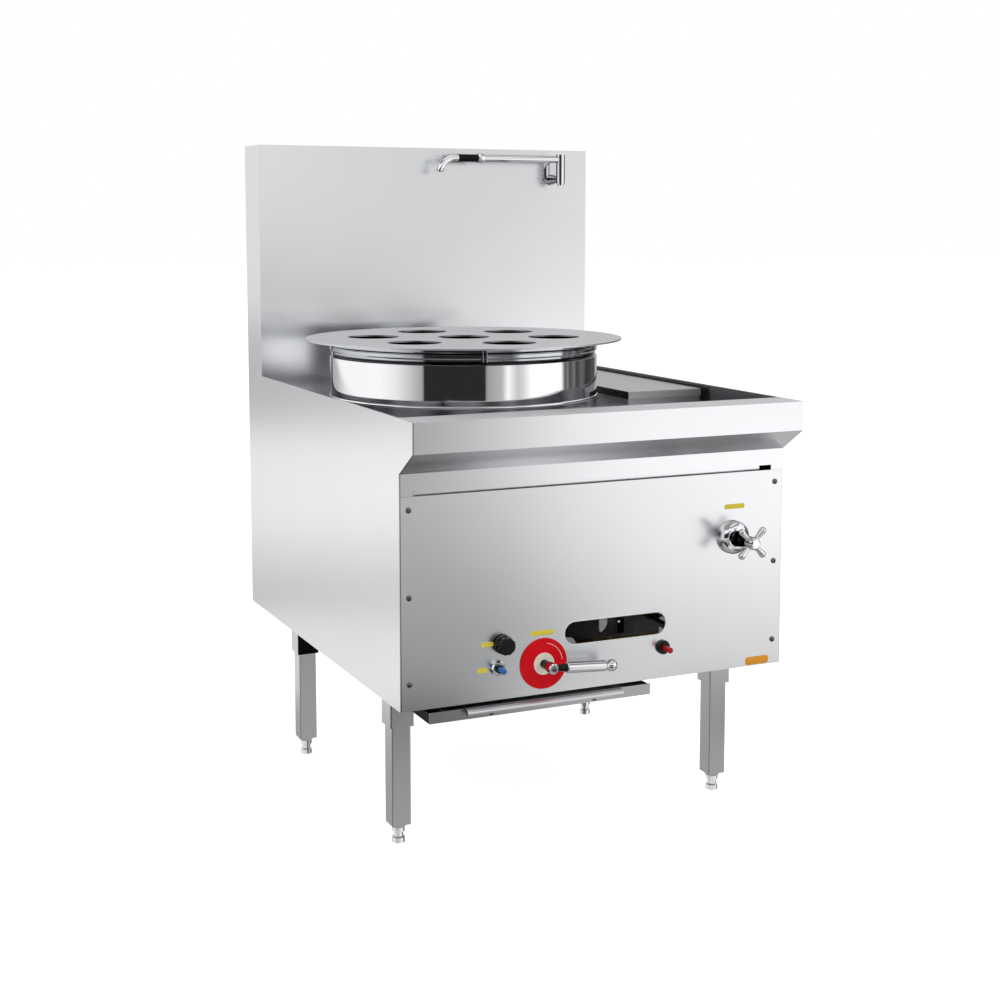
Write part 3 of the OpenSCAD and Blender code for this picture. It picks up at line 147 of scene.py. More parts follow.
for_eye = shade(tree, "ShaderNodeMix", {
    "Factor": seen_straight(tree, path), "A": for_metal.outputs[0], "B": 1.0})
background = shade(tree, "ShaderNodeBackground", {"Color": for_eye.outputs[0], "Strength": 1.0})
shade(tree, "ShaderNodeOutputWorld", {"Surface": background.outputs[0]})

floor_half = 40.0
floor_mesh = bpy.data.meshes.new("studio_floor")
floor_mesh.from_pydata(
    [(-floor_half, -floor_half, 0), (floor_half, -floor_half, 0),
     (floor_half, floor_half, 0), (-floor_half, floor_half, 0)], [], [(0, 1, 2, 3)])
floor = bpy.data.objects.new("studio_floor", floor_mesh)
bpy.context.scene.collection.objects.link(floor)
paper = bpy.data.materials.new("white studio paper")
paper.use_nodes = True
tree = paper.node_tree
tree.nodes.clear()
place = shade(tree, "ShaderNodeTexCoord").outputs["Object"]
path = shade(tree, "ShaderNodeLightPath")
distance = shade(tree, "ShaderNodeVectorMath", {0: place}, operation="LENGTH").outputs["Value"]
# What polished metal shows of the floor, ring by ring outwards from a painted shadow under the
# steamer: the distances at which a ring starts and is full, how it starts, and its levels.
painted_shadow_level, seen_level, paper_level = 0.4, 0.8, 0.7
floor_level = painted_shadow_level
for start, full, easing, ring_levels in (
        (0.8, 0.88, "LINEAR", near_floor), (1.2, 1.7, "SMOOTHSTEP", mid_floor),
        (5.4, 7.0, "SMOOTHSTEP", far_floor), (14.0, 18.0, "SMOOTHSTEP", far_walls)):
    reached = shade(tree, "ShaderNodeMapRange", {
        "Value": distance, "From Min": start, "From Max": full}, interpolation_type=easing)
    floor_level = shade(tree, "ShaderNodeMix", {
        "Factor": reached.outputs[0], "A": floor_level,
        "B": studio_walls(tree, place, ring_levels)}).outputs[0]
# A darker ring, deepest about 1.9 m out, is a painted shadow of the steamer in what metal mirrors of
# the floor.
span = shade(tree, "ShaderNodeMapRange", {"Value": distance, "From Max": 8.0})
painted_floor_shadow = shade(tree, "ShaderNodeValToRGB", {"Fac": span.outputs[0]},
                  stops=[(0.16, 1.0), (0.24, 0.6), (0.4, 0.96), (0.55, 1.0)])
floor_level = shade(tree, "ShaderNodeMath", {0: floor_level, 1: painted_floor_shadow.outputs["Color"]},
                    operation="MULTIPLY")
glossy = path.outputs["Is Glossy Ray"]
metal_sees = shade(tree, "ShaderNodeMath", {0: glossy, 1: floor_level.outputs[0]},
                   operation="MULTIPLY")
eye_sees = shade(tree, "ShaderNodeMath", {0: seen_straight(tree, path), 1: seen_level},
                 operation="MULTIPLY")
glow = shade(tree, "ShaderNodeMath", {0: metal_sees.outputs[0], 1: eye_sees.outputs[0]},
             operation="MAXIMUM")
white = shade(tree, "ShaderNodeEmission", {"Strength": glow.outputs[0]})
left_over = shade(tree, "ShaderNodeMath", {0: paper_level, 1: glossy}, operation="SUBTRACT")
matt_level = shade(tree, "ShaderNodeMath", {0: left_over.outputs[0], 1: 0.0}, operation="MAXIMUM")
matt = shade(tree, "ShaderNodeBsdfDiffuse", {"Color": matt_level.outputs[0]})
both = shade(tree, "ShaderNodeAddShader", {0: white.outputs[0], 1: matt.outputs[0]})
shade(tree, "ShaderNodeOutputMaterial", {"Surface": both.outputs[0]})
floor_mesh.materials.append(paper)

aim = Vector((0, 0, 0.7))
for name, spot, size, watts in [
        ("soft_box_left", (-2.6, -1.6, 3.0), 2.4, 42.0),
        ("soft_box_right", (2.6, -2.4, 2.6), 2.0, 34.0),
        ("soft_box_back", (0.4, 2.6, 3.4), 2.4, 26.0)]:
    lamp = bpy.data.lights.new(name, "AREA")
    lamp.size = size
    lamp.energy = watts
    box = bpy.data.objects.new(name, lamp)
    box.location = spot
    box.rotation_euler = (aim - Vector(spot)).to_track_quat("-Z", "Y").to_euler()
    box.visible_glossy = False
    bpy.context.scene.collection.objects.link(box)

bpy.context.scene.view_settings.view_transform = "Standard"


# Legs
# Four square tubes of drawn stainless steel, pushed up into folded sleeves that are welded under
# the frame. The draw lines run down each tube, and a thin grey line is painted down its left edge:
# painted shade.
def new_material(name):
    """A new material: itself, its node tree, its shader, and the place on the object."""
    made = bpy.data.materials.new(name)
    made.use_nodes = True
    tree = made.node_tree
    place = shade(tree, "ShaderNodeTexCoord").outputs["Object"]
    return made, tree, tree.nodes["Principled BSDF"], place


def colour(code):
    """An sRGB hex colour as the linear colour that a socket takes."""
    parts = [int(code[i:i + 2], 16) / 255 for i in (1, 3, 5)]
    return [p / 12.92 if p <= 0.04045 else ((p + 0.055) / 1.055) ** 2.4 for p in parts] + [1.0]


def changed(code, share):
    """A hex colour made darker or brighter."""
    return [min(1.0, channel * share) for channel in colour(code)[:3]] + [1.0]


def ruled(tree, place, ground, marks):
    """The colour ground with bands painted across it. A mark is an axis, the middle and the half width
    of its band in metres, and its tone: dark bands are painted shade, pale ones a painted highlight."""
    axes = shade(tree, "ShaderNodeSeparateXYZ", {0: place})
    for axis, middle, half, tone in marks:
        within = shade(tree, "ShaderNodeMath", {0: axes.outputs[axis], 1: middle, 2: half},
                       operation="COMPARE")
        ground = shade(tree, "ShaderNodeMix", {
            "Factor": within.outputs[0], "A": ground, "B": colour(tone)},
            data_type="RGBA").outputs["Result"]
    return ground


def satin_steel(name, tone, across, rough=0.2, lines=0.006, marks=(), dulled=()):
    """Stainless sheet or tube, rolled and brushed one way: fine lines along the grain, which
    break up its reflections, and faint clouds from handling. across is how often the lines
    change along X, Y and Z, in lines a metre: few along the grain, many across it.
    Real grit lines are 0.1 mm apart, so they are drawn at 1 mm to show. marks are bands as in
    ruled. dulled lists the faces that are scoured duller: the middle and the half of their
    height, and the roughness that they add."""
    made, tree, metal, place = new_material(name)
    metal.inputs["Metallic"].default_value = 1.0
    along = shade(tree, "ShaderNodeMapping", {"Vector": place, "Scale": across})
    grit = shade(tree, "ShaderNodeTexNoise", {
        "Vector": along.outputs[0], "Scale": 1.0, "Detail": 3.0, "Roughness": 0.65})
    clouds = shade(tree, "ShaderNodeTexNoise", {"Vector": place, "Scale": 7.0, "Detail": 2.0})
    blend = shade(tree, "ShaderNodeMath", {0: grit.outputs[0], 1: clouds.outputs[0]},
                  operation="MULTIPLY")
    shown = shade(tree, "ShaderNodeMapRange", {
        "Value": blend.outputs[0], "From Min": 0.1, "From Max": 0.4})
    face = shade(tree, "ShaderNodeMix", {
        "Factor": shown.outputs[0], "A": changed(tone, 0.985), "B": changed(tone, 1.01)},
        data_type="RGBA").outputs["Result"]
    tree.links.new(ruled(tree, place, face, marks), metal.inputs["Base Color"])
    polish = shade(tree, "ShaderNodeMapRange", {
        "Value": grit.outputs[0], "From Min": 0.25, "From Max": 0.75,
        "To Min": rough - 0.01, "To Max": rough + 0.02})
    for height, half, duller in dulled:
        level = shade(tree, "ShaderNodeSeparateXYZ", {0: place}).outputs["Z"]
        within = shade(tree, "ShaderNodeMath", {0: level, 1: height, 2: half},
                       operation="COMPARE")
        polish = shade(tree, "ShaderNodeMath", {
            0: within.outputs[0], 1: duller, 2: polish.outputs[0]}, operation="MULTIPLY_ADD")
    tree.links.new(polish.outputs[0], metal.inputs["Roughness"])
    relief = shade(tree, "ShaderNodeBump", {
        "Height": grit.outputs[0], "Strength": lines, "Distance": 0.0004})
    tree.links.new(relief.outputs[0], metal.inputs["Normal"])
    return made


def finish_in(material, *names):
    """Gives CAD nodes their finish: the material goes into the slots that they have."""
    for name in names:
        for slot in steamer[name].material_slots:
            slot.material = material


leg_xs, rear_leg_y = (-0.3385, 0.3535), 0.2785
tube_edge, sleeve_edge, sleeve_half = 0.0183, 0.0219, 0.0232
# Drawing leaves fine lines down the tube, which spread its highlights into upright bands.
# A thin grey line painted down each tube's left edge is painted shade.
drawn_tube = satin_steel("drawn stainless tube, satin", "#E2E3E5", (900, 900, 6), rough=0.36,
                         marks=[(0, x - tube_edge, 0.0005, "#8E8F92") for x in leg_xs])
finish_in(drawn_tube, "leg_front_left", "leg_front_right", "leg_rear_left", "leg_rear_right")
# The sleeves keep the sheet's satin. A grey line painted down their left folds, and a dark band
# painted on the rear sleeves' front faces, are painted shade.
sleeve_steel = satin_steel("folded stainless sleeve, satin", "#E2E3E5", (900, 900, 6), rough=0.36,
                           marks=[(0, x - sleeve_edge, 0.0011, "#6E7073") for x in leg_xs]
                           + [(1, rear_leg_y - sleeve_half, 0.0005, "#161719")])
finish_in(sleeve_steel, "leg_sleeves")


# Levelling feet
# Turned steel feet on a threaded stud, plated bright. Each screws up into the end of its leg to
# level the steamer, and stands flat on the floor.
def bright_metal(name, tone, rough, ripple=0.0, ripple_m=0.05, lean=0.0, shaded=None, marks=(),
                 grazing=None):
    """Polished or plated metal: almost a mirror, with a film of fine wipe marks, and where
    ripple is given, the slow waves that rolled sheet keeps, ripple_m apart. lean tips what it
    mirrors upwards, as a wall does that is rolled a little wider at its foot. shaded is a place
    on an axis, the two directions across it, two distances from it and the dark tone painted
    within them: painted shade. grazing is the tint of what it mirrors at its outline."""
    made, tree, metal, place = new_material(name)
    metal.inputs["Metallic"].default_value = 1.0
    wipes = shade(tree, "ShaderNodeTexNoise", {
        "Vector": place, "Scale": 60.0, "Detail": 4.0, "Distortion": 1.2})
    film = shade(tree, "ShaderNodeMapRange", {
        "Value": wipes.outputs[0], "From Min": 0.35, "From Max": 0.7,
        "To Min": rough, "To Max": rough * 1.8})
    tree.links.new(film.outputs[0], metal.inputs["Roughness"])
    face = shade(tree, "ShaderNodeMix", {
        "Factor": wipes.outputs[0], "A": colour(tone), "B": changed(tone, 0.95)},
        data_type="RGBA").outputs["Result"]
    face = ruled(tree, place, face, marks)
    if grazing:
        metal.inputs["Specular Tint"].default_value = colour(grazing)
    if shaded:
        centre, across, (low, high), dark = shaded
        off = shade(tree, "ShaderNodeVectorMath", {0: place, 1: centre}, operation="SUBTRACT")
        flat = shade(tree, "ShaderNodeVectorMath", {0: off.outputs[0], 1: across},
                     operation="MULTIPLY")
        radius = shade(tree, "ShaderNodeVectorMath", {0: flat.outputs[0]}, operation="LENGTH")
        out = shade(tree, "ShaderNodeMapRange", {
            "Value": radius.outputs["Value"], "From Min": low, "From Max": high})
        face = shade(tree, "ShaderNodeMix", {
            "Factor": out.outputs[0], "A": colour(dark), "B": face},
            data_type="RGBA").outputs["Result"]
    tree.links.new(face, metal.inputs["Base Color"])
    if ripple:
        waves = shade(tree, "ShaderNodeTexNoise", {
            "Vector": place, "Scale": 1.0 / ripple_m, "Detail": 1.0})
        relief = shade(tree, "ShaderNodeBump", {
            "Height": waves.outputs[0], "Strength": ripple, "Distance": 0.002})
        tipped = shade(tree, "ShaderNodeVectorMath", {0: relief.outputs[0], 1: (0.0, 0.0, lean)},
                       operation="ADD")
        tree.links.new(tipped.outputs[0], metal.inputs["Normal"])
    return made


# Zinc plate is a little milky: it shows the room, but blurred.
zinc_bright = bright_metal("turned steel, bright zinc", "#E4E5E7", 0.12, ripple=0.02, lean=0.4)
finish_in(zinc_bright, "foot_front_left", "foot_front_right", "foot_rear_left", "foot_rear_right")


# Base frame and tray runners
# Folded channels of mill finished steel, welded into a frame that carries the cabinet.
# Two angles under it carry the drip tray.

# A mill finish is grey and dull, with no highlight that has an edge.
mill_sheet = satin_steel("mill finished sheet", "#D2D4D7", (8, 500, 500), rough=0.42)
finish_in(mill_sheet, "base_frame", "tray_runners")


# Drip tray
# A folded sheet tray that slides out on the runners. Its front plate has a pressed pull with a rolled
# nose, two punched slots drawn as black patches of painted shade, and a black fold at its left end
# that is painted shade for the tray's shaded left side.

# The tray is brushed along its length, so that its highlights lie in level streaks.
tray_sheet = satin_steel("brushed stainless tray", "#C6C7C9", (6, 900, 900), rough=0.3)
finish_in(tray_sheet, "drip_tray")


def piece(name, form, material, body, sharp=35.0):
    """Makes an object of a bmesh, smooth but for its sharp edges, and rides it on a body."""
    mesh = bpy.data.meshes.new(name)
    bmesh.ops.recalc_face_normals(form, faces=form.faces)
    form.to_mesh(mesh)
    form.free()
    mesh.polygons.foreach_set("use_smooth", [True] * len(mesh.polygons))
    mesh.set_sharp_from_angle(angle=math.radians(sharp))
    mesh.materials.append(material)
    made = bpy.data.objects.new(name, mesh)
    bpy.context.scene.collection.objects.link(made)
    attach(made, body)
    return made


def drawn_out(form, outline, axis, start, end):
    """Adds a bar to a bmesh: an outline in the other two axes, in their order, from start to
    end along the axis."""
    def ring(along):
        return [form.verts.new([*point[:axis], along, *point[axis:]]) for point in outline]
    near, far = ring(start), ring(end)
    count = len(outline)
    for k in range(count):
        form.faces.new((near[k], near[(k + 1) % count], far[(k + 1) % count], far[k]))
    form.faces.new(near)
    form.faces.new(list(reversed(far)))


panel_y = -0.4415
tray_plate_y = panel_y - 0.0015
pull = bmesh.new()
drawn_out(pull, [(tray_plate_y, 0.2922), (-0.4480, 0.2918), (-0.4525, 0.2905), (-0.4553, 0.2884),
                 (-0.4564, 0.2858), (-0.4560, 0.2834), (-0.4548, 0.2822), (-0.4534, 0.2824),
                 (-0.4520, 0.2850), (-0.4500, 0.2870), (tray_plate_y, 0.2890)], 0, -0.2695, 0.0505)
# Hands have rubbed the pull softer than the sheet. A dark line painted at its left end is painted
# shade.
pull_steel = satin_steel("rolled pull, polished by hands", "#E8E9EB", (6, 900, 900), rough=0.36,
                         marks=[(0, -0.2688, 0.0008, "#4A4B4E")])
piece("tray_pull_roll", pull, pull_steel, "tray")
fold = bmesh.new()
drawn_out(fold, [(-0.3375, 0.2720), (-0.3375, 0.2916), (-0.3369, 0.2923), (-0.3112, 0.2923),
                 (-0.3112, 0.2915), (-0.3362, 0.2915), (-0.3367, 0.2911), (-0.3367, 0.2720)],
          1, panel_y, -0.3350)
slot_z, slot_half_wide, slot_half_high, slot_steps = 0.2757, 0.0045, 0.0013, 16
for slot_x in (-0.2160, -0.0052):
    drawn_out(fold, [(slot_x + slot_half_wide * math.cos(a), slot_z + slot_half_high * math.sin(a))
                     for a in [2 * math.pi * k / slot_steps for k in range(slot_steps)]],
              1, tray_plate_y - 0.0003, tray_plate_y)
# The lacquer hides the steel: black, with a dull sheen. On the tray, the black fold and the slots are
# painted shade.
black_lacquer_and_painted_shade = satin_steel("black lacquered steel and painted shade", "#060607", (6, 900, 900), rough=0.5)
piece("tray_end_fold", fold, black_lacquer_and_painted_shade, "tray")


# Cabinet panels
# Panels of brushed stainless sheet, folded at the edges and screwed or welded to the frame. The
# grain runs level on each, along X on the front and the splashback, along Y on the sides.

# Brushed sheet mirrors the room as soft level bands, with no clear picture in them.
brushed_front = satin_steel("brushed stainless, grain along the front", "#F1F2F4", (6, 900, 900))
brushed_side = satin_steel("brushed stainless, grain along the side", "#F1F2F4", (900, 6, 900))
finish_in(brushed_front, "slot_baffle", "splashback")
# A grey line painted along the fold at the left of the front is painted shade. The rail is rubbed
# brighter than the panel, but for its upper edge and the slope under its nose, which are scoured
# duller; its upper edge is also painted a little darker, painted shade.
painted_fold_shade = (0, -0.3911, 0.0014, "#77787B")
rim_z, slope_z, slope_half = 0.825, 0.7478, 0.0206
finish_in(satin_steel("brushed stainless front panel", "#F1F2F4", (6, 900, 900), rough=0.24,
                      marks=[painted_fold_shade]),
          "front_panel")
finish_in(satin_steel("brushed stainless rail", "#F1F2F4", (6, 900, 900), rough=0.18,
                      marks=[painted_fold_shade, (2, rim_z, 0.0006, "#E6E7E9")],
                      dulled=[(rim_z, 0.0008, 0.44), (slope_z, slope_half, 0.08)]), "front_rail")
finish_in(brushed_side, "left_side_panel", "right_side_panel")
finish_in(mill_sheet, "back_panel", "splashback_back")


# Panel screws
# Pan headed stainless screws with a cross recess, driven through the front panel and the backs
# into the folded edges behind them.
def turned(form, profile, centre, axis, steps=32):
    """Adds a turned solid to a bmesh: profile is (radius, distance) pairs from the middle of one
    end to the middle of the other, and axis is the way the distance runs from the centre."""
    lean = Vector((0, 0, 1)).rotation_difference(Vector(axis)).to_matrix()
    rings = []
    for radius, out in profile:
        count = 1 if radius < 1e-7 else steps
        rings.append([form.verts.new(Vector(centre) + lean @ Vector((
            radius * math.cos(2 * math.pi * k / steps),
            radius * math.sin(2 * math.pi * k / steps), out))) for k in range(count)])
    for low, high in zip(rings, rings[1:]):
        for k in range(steps):
            corners = [low[k % len(low)], low[(k + 1) % len(low)],
                       high[(k + 1) % len(high)], high[k % len(high)]]
            form.faces.new(list(dict.fromkeys(corners)))


def screw_head(form, centre, axis, radius=0.0055, rise=0.0026, turn=0.3):
    """Adds a domed head with a cross cut into it: four lands round the recess."""
    turned(form, [(0, 0), (radius, 0), (radius, rise * 0.35), (radius * 0.93, rise * 0.62),
                  (radius * 0.78, rise * 0.82), (radius * 0.62, rise * 0.9)], centre, axis)
    lean = Vector((0, 0, 1)).rotation_difference(Vector(axis)).to_matrix() @ Matrix.Rotation(
        turn, 3, "Z")
    top, floor_out = rise * 0.9, rise * 0.3
    arm, half = radius * 0.5, radius * 0.13
    outer = radius * 0.62
    cross = [(arm, half), (half, half), (half, arm), (-half, arm), (-half, half), (-arm, half),
             (-arm, -half), (-half, -half), (-half, -arm), (half, -arm), (half, -half), (arm, -half)]

    def point(x, y, out):
        return form.verts.new(Vector(centre) + lean @ Vector((x, y, out)))
    rim = [point(outer * math.cos(a), outer * math.sin(a), top)
           for a in [math.atan2(y, x) for x, y in cross]]
    lip = [point(x, y, rise) for x, y in cross]
    pit = [point(x, y, floor_out) for x, y in cross]
    for k in range(len(cross)):
        j = (k + 1) % len(cross)
        form.faces.new((rim[k], rim[j], lip[j], lip[k]))
        form.faces.new((lip[k], lip[j], pit[j], pit[k]))
    form.faces.new(pit)


# Screw steel is greyer than chrome, and its small domes catch only a point of light.
plain_steel = bright_metal("pan head screw steel", "#7E8083", 0.22)
screws = bmesh.new()
for x in (-0.3745, 0.3895):
    for z in (0.3485, 0.50525, 0.662):
        screw_head(screws, (x, panel_y, z), (0, -1, 0), turn=x + z)
front_screws = piece("front_panel_screws", screws, plain_steel, "cabinet")
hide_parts("panel_screws")
screws, back_y = bmesh.new(), 0.4985
for x in (-0.377, -0.125, 0.14, 0.392):
    for z in (0.318, 0.802, 0.848, 1.312):
        screw_head(screws, (x, back_y, z), (0, 1, 0), radius=0.0045, turn=x * 9 + z)
piece("back_screws", screws, plain_steel, "cabinet")


# Inspection window
# The oval hole in the front panel has a ground edge, drawn in matt white as a painted highlight.
# Behind it hang the tabs that carry the furnace wall, and a dark bracket with a screw drawn white,
# also a painted highlight.
def moulded(name, tone, rough, grain_m=0.0012, relief=0.15, sheen=0.12):
    """Moulded plastic, enamel or vinyl: one even colour with the faint mottle of its making,
    and the fine texture of the tool, grain_m across."""
    made, tree, skin, place = new_material(name)
    skin.inputs["Specular IOR Level"].default_value = sheen
    grain = shade(tree, "ShaderNodeTexNoise", {
        "Vector": place, "Scale": 1.0 / grain_m, "Detail": 2.0})
    mottle = shade(tree, "ShaderNodeTexNoise", {"Vector": place, "Scale": 90.0, "Detail": 2.0})
    face = shade(tree, "ShaderNodeMix", {
        "Factor": mottle.outputs[0], "A": colour(tone), "B": changed(tone, 0.86)},
        data_type="RGBA")
    tree.links.new(face.outputs["Result"], skin.inputs["Base Color"])
    gloss = shade(tree, "ShaderNodeMapRange", {
        "Value": grain.outputs[0], "To Min": rough - 0.04, "To Max": rough + 0.06})
    tree.links.new(gloss.outputs[0], skin.inputs["Roughness"])
    bumps = shade(tree, "ShaderNodeBump", {
        "Height": grain.outputs[0], "Strength": relief, "Distance": 0.0002})
    tree.links.new(bumps.outputs[0], skin.inputs["Normal"])
    return made


# A ground edge is drawn in a matt white that looks bright from every side: a painted highlight.
painted_highlight_edge = moulded("steel edge in painted white highlight", "#F6F7F8", 0.4, relief=0.0, sheen=0.4)
window_x, window_z, window_r, window_half = 0.0403, 0.4075, 0.021, 0.086
rim, end_steps = bmesh.new(), 24
loops = []
for grown, proud in ((0.0002, 0.0), (0.0002, 0.0003), (0.0014, 0.0008), (0.0024, 0.0)):
    loop = []
    for side, start in ((1, -90), (-1, 90)):
        for k in range(end_steps + 1):
            a = math.radians(start + 180 * k / end_steps)
            loop.append(rim.verts.new((
                window_x + side * window_half + (window_r + grown) * math.cos(a), panel_y - proud,
                window_z + (window_r + grown) * math.sin(a))))
    loops.append(loop)
loops.append(loops[0])
for low, high in zip(loops, loops[1:]):
    for k in range(len(low)):
        j = (k + 1) % len(low)
        rim.faces.new((low[k], low[j], high[j], high[k]))
piece("window_rim", rim, painted_highlight_edge, "cabinet")
tabs, tab_front_y, tab_back_y = bmesh.new(), -0.4399, -0.4370
for outline in (
        [(-0.0615, 0.4002), (-0.0495, 0.3981), (-0.0407, 0.3856), (-0.0407, 0.3795), (-0.0740, 0.3795),
         (-0.0740, 0.4002)],
        [(0.0059, 0.4335), (0.0228, 0.4335), (0.0228, 0.4230), (0.0223, 0.4159), (0.0160, 0.4070),
         (0.0097, 0.4024), (0.0067, 0.4042), (0.0059, 0.4253)],
        [(0.1343, 0.4165), (0.1436, 0.4187), (0.1560, 0.4187), (0.1560, 0.4075), (0.1482, 0.4075)],
        [(0.1353, 0.4001), (0.1433, 0.3944), (0.1433, 0.3795), (0.1351, 0.3795)]):
    drawn_out(tabs, outline, 1, tab_front_y, tab_back_y)
# Dust takes the shine off the steel behind the window.
tab_steel = moulded("dusty sheet steel", "#8C8E91", 0.5, sheen=0.3)
piece("window_tabs", tabs, tab_steel, "cabinet")
bracket, bracket_y = bmesh.new(), -0.4388
drawn_out(bracket, [(0.0440, 0.3960), (0.0440, 0.4340), (0.0590, 0.4340), (0.0590, 0.3960)], 1,
          bracket_y, bracket_y + 0.0013)
piece("window_bracket", bracket, black_lacquer_and_painted_shade, "cabinet")
# The screw is drawn in the same matt white: a painted highlight.
bracket_screw = bmesh.new()
turned(bracket_screw,
       [(0, -0.0004), (0.0021, -0.0004), (0.0021, 0.0007), (0.0013, 0.0013), (0, 0.0015)],
       (0.0478, bracket_y, 0.4190), (0, -1, 0), steps=16)
piece("window_bracket_screw", bracket_screw, painted_highlight_edge, "cabinet")


# Well deck
# The sunken top, folded from one sheet and welded to the splashback. Spilt water lies in it,
# round the pot, and it is brushed as the front is.

# The well is toned a middle grey, darker than the panels round it.
well_sheet = satin_steel("brushed stainless well", "#A0A1A4", (6, 900, 900), rough=0.3)
finish_in(well_sheet, "well_deck")


# Boiler pot, steam ring and collar
# Spun and rolled stainless, polished to a mirror. The pot hangs in the deck, the ring stands in
# its seat, and the collar is a band with two grooves and a folded seam that carries the plate.
def scaled_iron(name, dark, worn, grain_m, rough, relief_m, sheen=0.5):
    """Iron or steel with an oxide skin: not bare metal, rough to the touch, grains grain_m
    across that stand relief_m high, and paler where it is rubbed."""
    made, tree, skin, place = new_material(name)
    skin.inputs["Metallic"].default_value = 0.35
    skin.inputs["Specular IOR Level"].default_value = sheen
    grains = shade(tree, "ShaderNodeTexNoise", {
        "Vector": place, "Scale": 1.0 / grain_m, "Detail": 5.0, "Roughness": 0.7})
    patches = shade(tree, "ShaderNodeTexNoise", {"Vector": place, "Scale": 14.0, "Detail": 3.0})
    where = shade(tree, "ShaderNodeMapRange", {
        "Value": patches.outputs[0], "From Min": 0.42, "From Max": 0.62})
    face = shade(tree, "ShaderNodeMix", {
        "Factor": where.outputs[0], "A": colour(dark), "B": colour(worn)}, data_type="RGBA")
    tree.links.new(face.outputs["Result"], skin.inputs["Base Color"])
    dry = shade(tree, "ShaderNodeMapRange", {
        "Value": grains.outputs[0], "To Min": rough - 0.12, "To Max": rough + 0.12})
    tree.links.new(dry.outputs[0], skin.inputs["Roughness"])
    relief = shade(tree, "ShaderNodeBump", {
        "Height": grains.outputs[0], "Strength": 0.6, "Distance": relief_m})
    tree.links.new(relief.outputs[0], skin.inputs["Normal"])
    return made


ring_axis, across_z = (-0.086, -0.0175, 0.0), (1.0, 1.0, 0.0)
ring_inside, ring_outside = 0.2709, 0.2716
# The ring's mirror shows the studio nearly sharp, in the slow waves of rolled sheet; its inner wall is
# painted darker, painted shade. The pot is matt and dark with scale, and the collar mirrors like the
# ring, but greyer.
mirror_steel = bright_metal("rolled stainless, mirror polish", "#F6F7F8", 0.03, ripple=0.02,
                            ripple_m=0.12, lean=0.05,
                            shaded=(ring_axis, across_z, (ring_inside, ring_outside), "#4A4A4D"))
finish_in(mirror_steel, "steam_ring")
finish_in(scaled_iron("boiled steel, scaled", "#2C2B2A", "#4B4947", 0.003, 0.5, 0.0002), "boiler_pot")
# The collar's two grooves are painted as dark lines: painted shade.
collar_steel = bright_metal("rolled stainless band, polished", "#CDCFD3", 0.06,
                            marks=[(2, 0.9010, 0.0010, "#3A3B3E"), (2, 0.9167, 0.0011, "#1E1F21")])
finish_in(collar_steel, "ring_collar")
# The seam's lips are drawn in the same matt white: a painted highlight.
seam = bmesh.new()
lip_wide, lip_shoulder, lip_crest, lip_tuck = 0.0017, 0.2748, 0.27525, 0.0006
edge = [(-lip_wide / 2, ring_outside), (-lip_wide / 2, lip_shoulder), (-lip_wide / 4, lip_crest),
        (lip_wide / 4, lip_crest), (lip_wide / 2, lip_shoulder), (lip_wide / 2, ring_outside)]
for lip_turn in (-15.65, -14.1):
    a = math.radians(lip_turn)
    rows = []
    for z, tuck in ((0.9005, lip_tuck), (0.9015, 0.0), (0.9255, 0.0), (0.9265, lip_tuck)):
        rows.append([seam.verts.new((
            ring_axis[0] + (r - tuck) * math.sin(a) + s * math.cos(a),
            ring_axis[1] - (r - tuck) * math.cos(a) + s * math.sin(a), z)) for s, r in edge])
    for low, high in zip(rows, rows[1:]):
        for k in range(len(edge)):
            j = (k + 1) % len(edge)
            seam.faces.new((low[k], low[j], high[j], high[k]))
    seam.faces.new(rows[0])
    seam.faces.new(rows[-1])
piece("collar_seam_lips", seam, painted_highlight_edge, "ring")


# Perforated plate
# A laser cut disc of satin stainless, laid loose in the collar. The bamboo baskets stand on it,
# over its seven holes.

# The satin is soft enough for the plate to look evenly pale.
satin_plate = satin_steel("satin stainless plate", "#D4D5D7", (6, 900, 900), rough=0.34)
finish_in(satin_plate, "perforated_plate")


# Float box
# A welded sheet box with a loose lid, where a ball float keeps the water level: a copper ball on
# a copper arm, and a brass valve. The lid's front edge is painted white, a painted highlight, and
# the left faces of the lid and the box are painted dark, painted shade.
def soft_metal(name, bright, dark, rough, spots_m=0.012):
    """Brass or copper as it leaves the shop: warm metal, with darker patches where it was
    handled and heated, about spots_m across."""
    made, tree, metal, place = new_material(name)
    metal.inputs["Metallic"].default_value = 1.0
    patches = shade(tree, "ShaderNodeTexNoise", {
        "Vector": place, "Scale": 1.0 / spots_m, "Detail": 4.0, "Roughness": 0.6})
    where = shade(tree, "ShaderNodeMapRange", {
        "Value": patches.outputs[0], "From Min": 0.4, "From Max": 0.68})
    face = shade(tree, "ShaderNodeMix", {
        "Factor": where.outputs[0], "A": colour(bright), "B": colour(dark)}, data_type="RGBA")
    tree.links.new(face.outputs["Result"], metal.inputs["Base Color"])
    tarnish = shade(tree, "ShaderNodeMapRange", {
        "Value": where.outputs[0], "To Min": rough, "To Max": rough + 0.2})
    tree.links.new(tarnish.outputs[0], metal.inputs["Roughness"])
    return made


# The lid and the box are brushed along Y. Brass and copper are warm, with brown patches where
# they were handled.
lid_left, lid_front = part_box("float_box_cover")[0][:2]
box_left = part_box("float_box")[0][0]
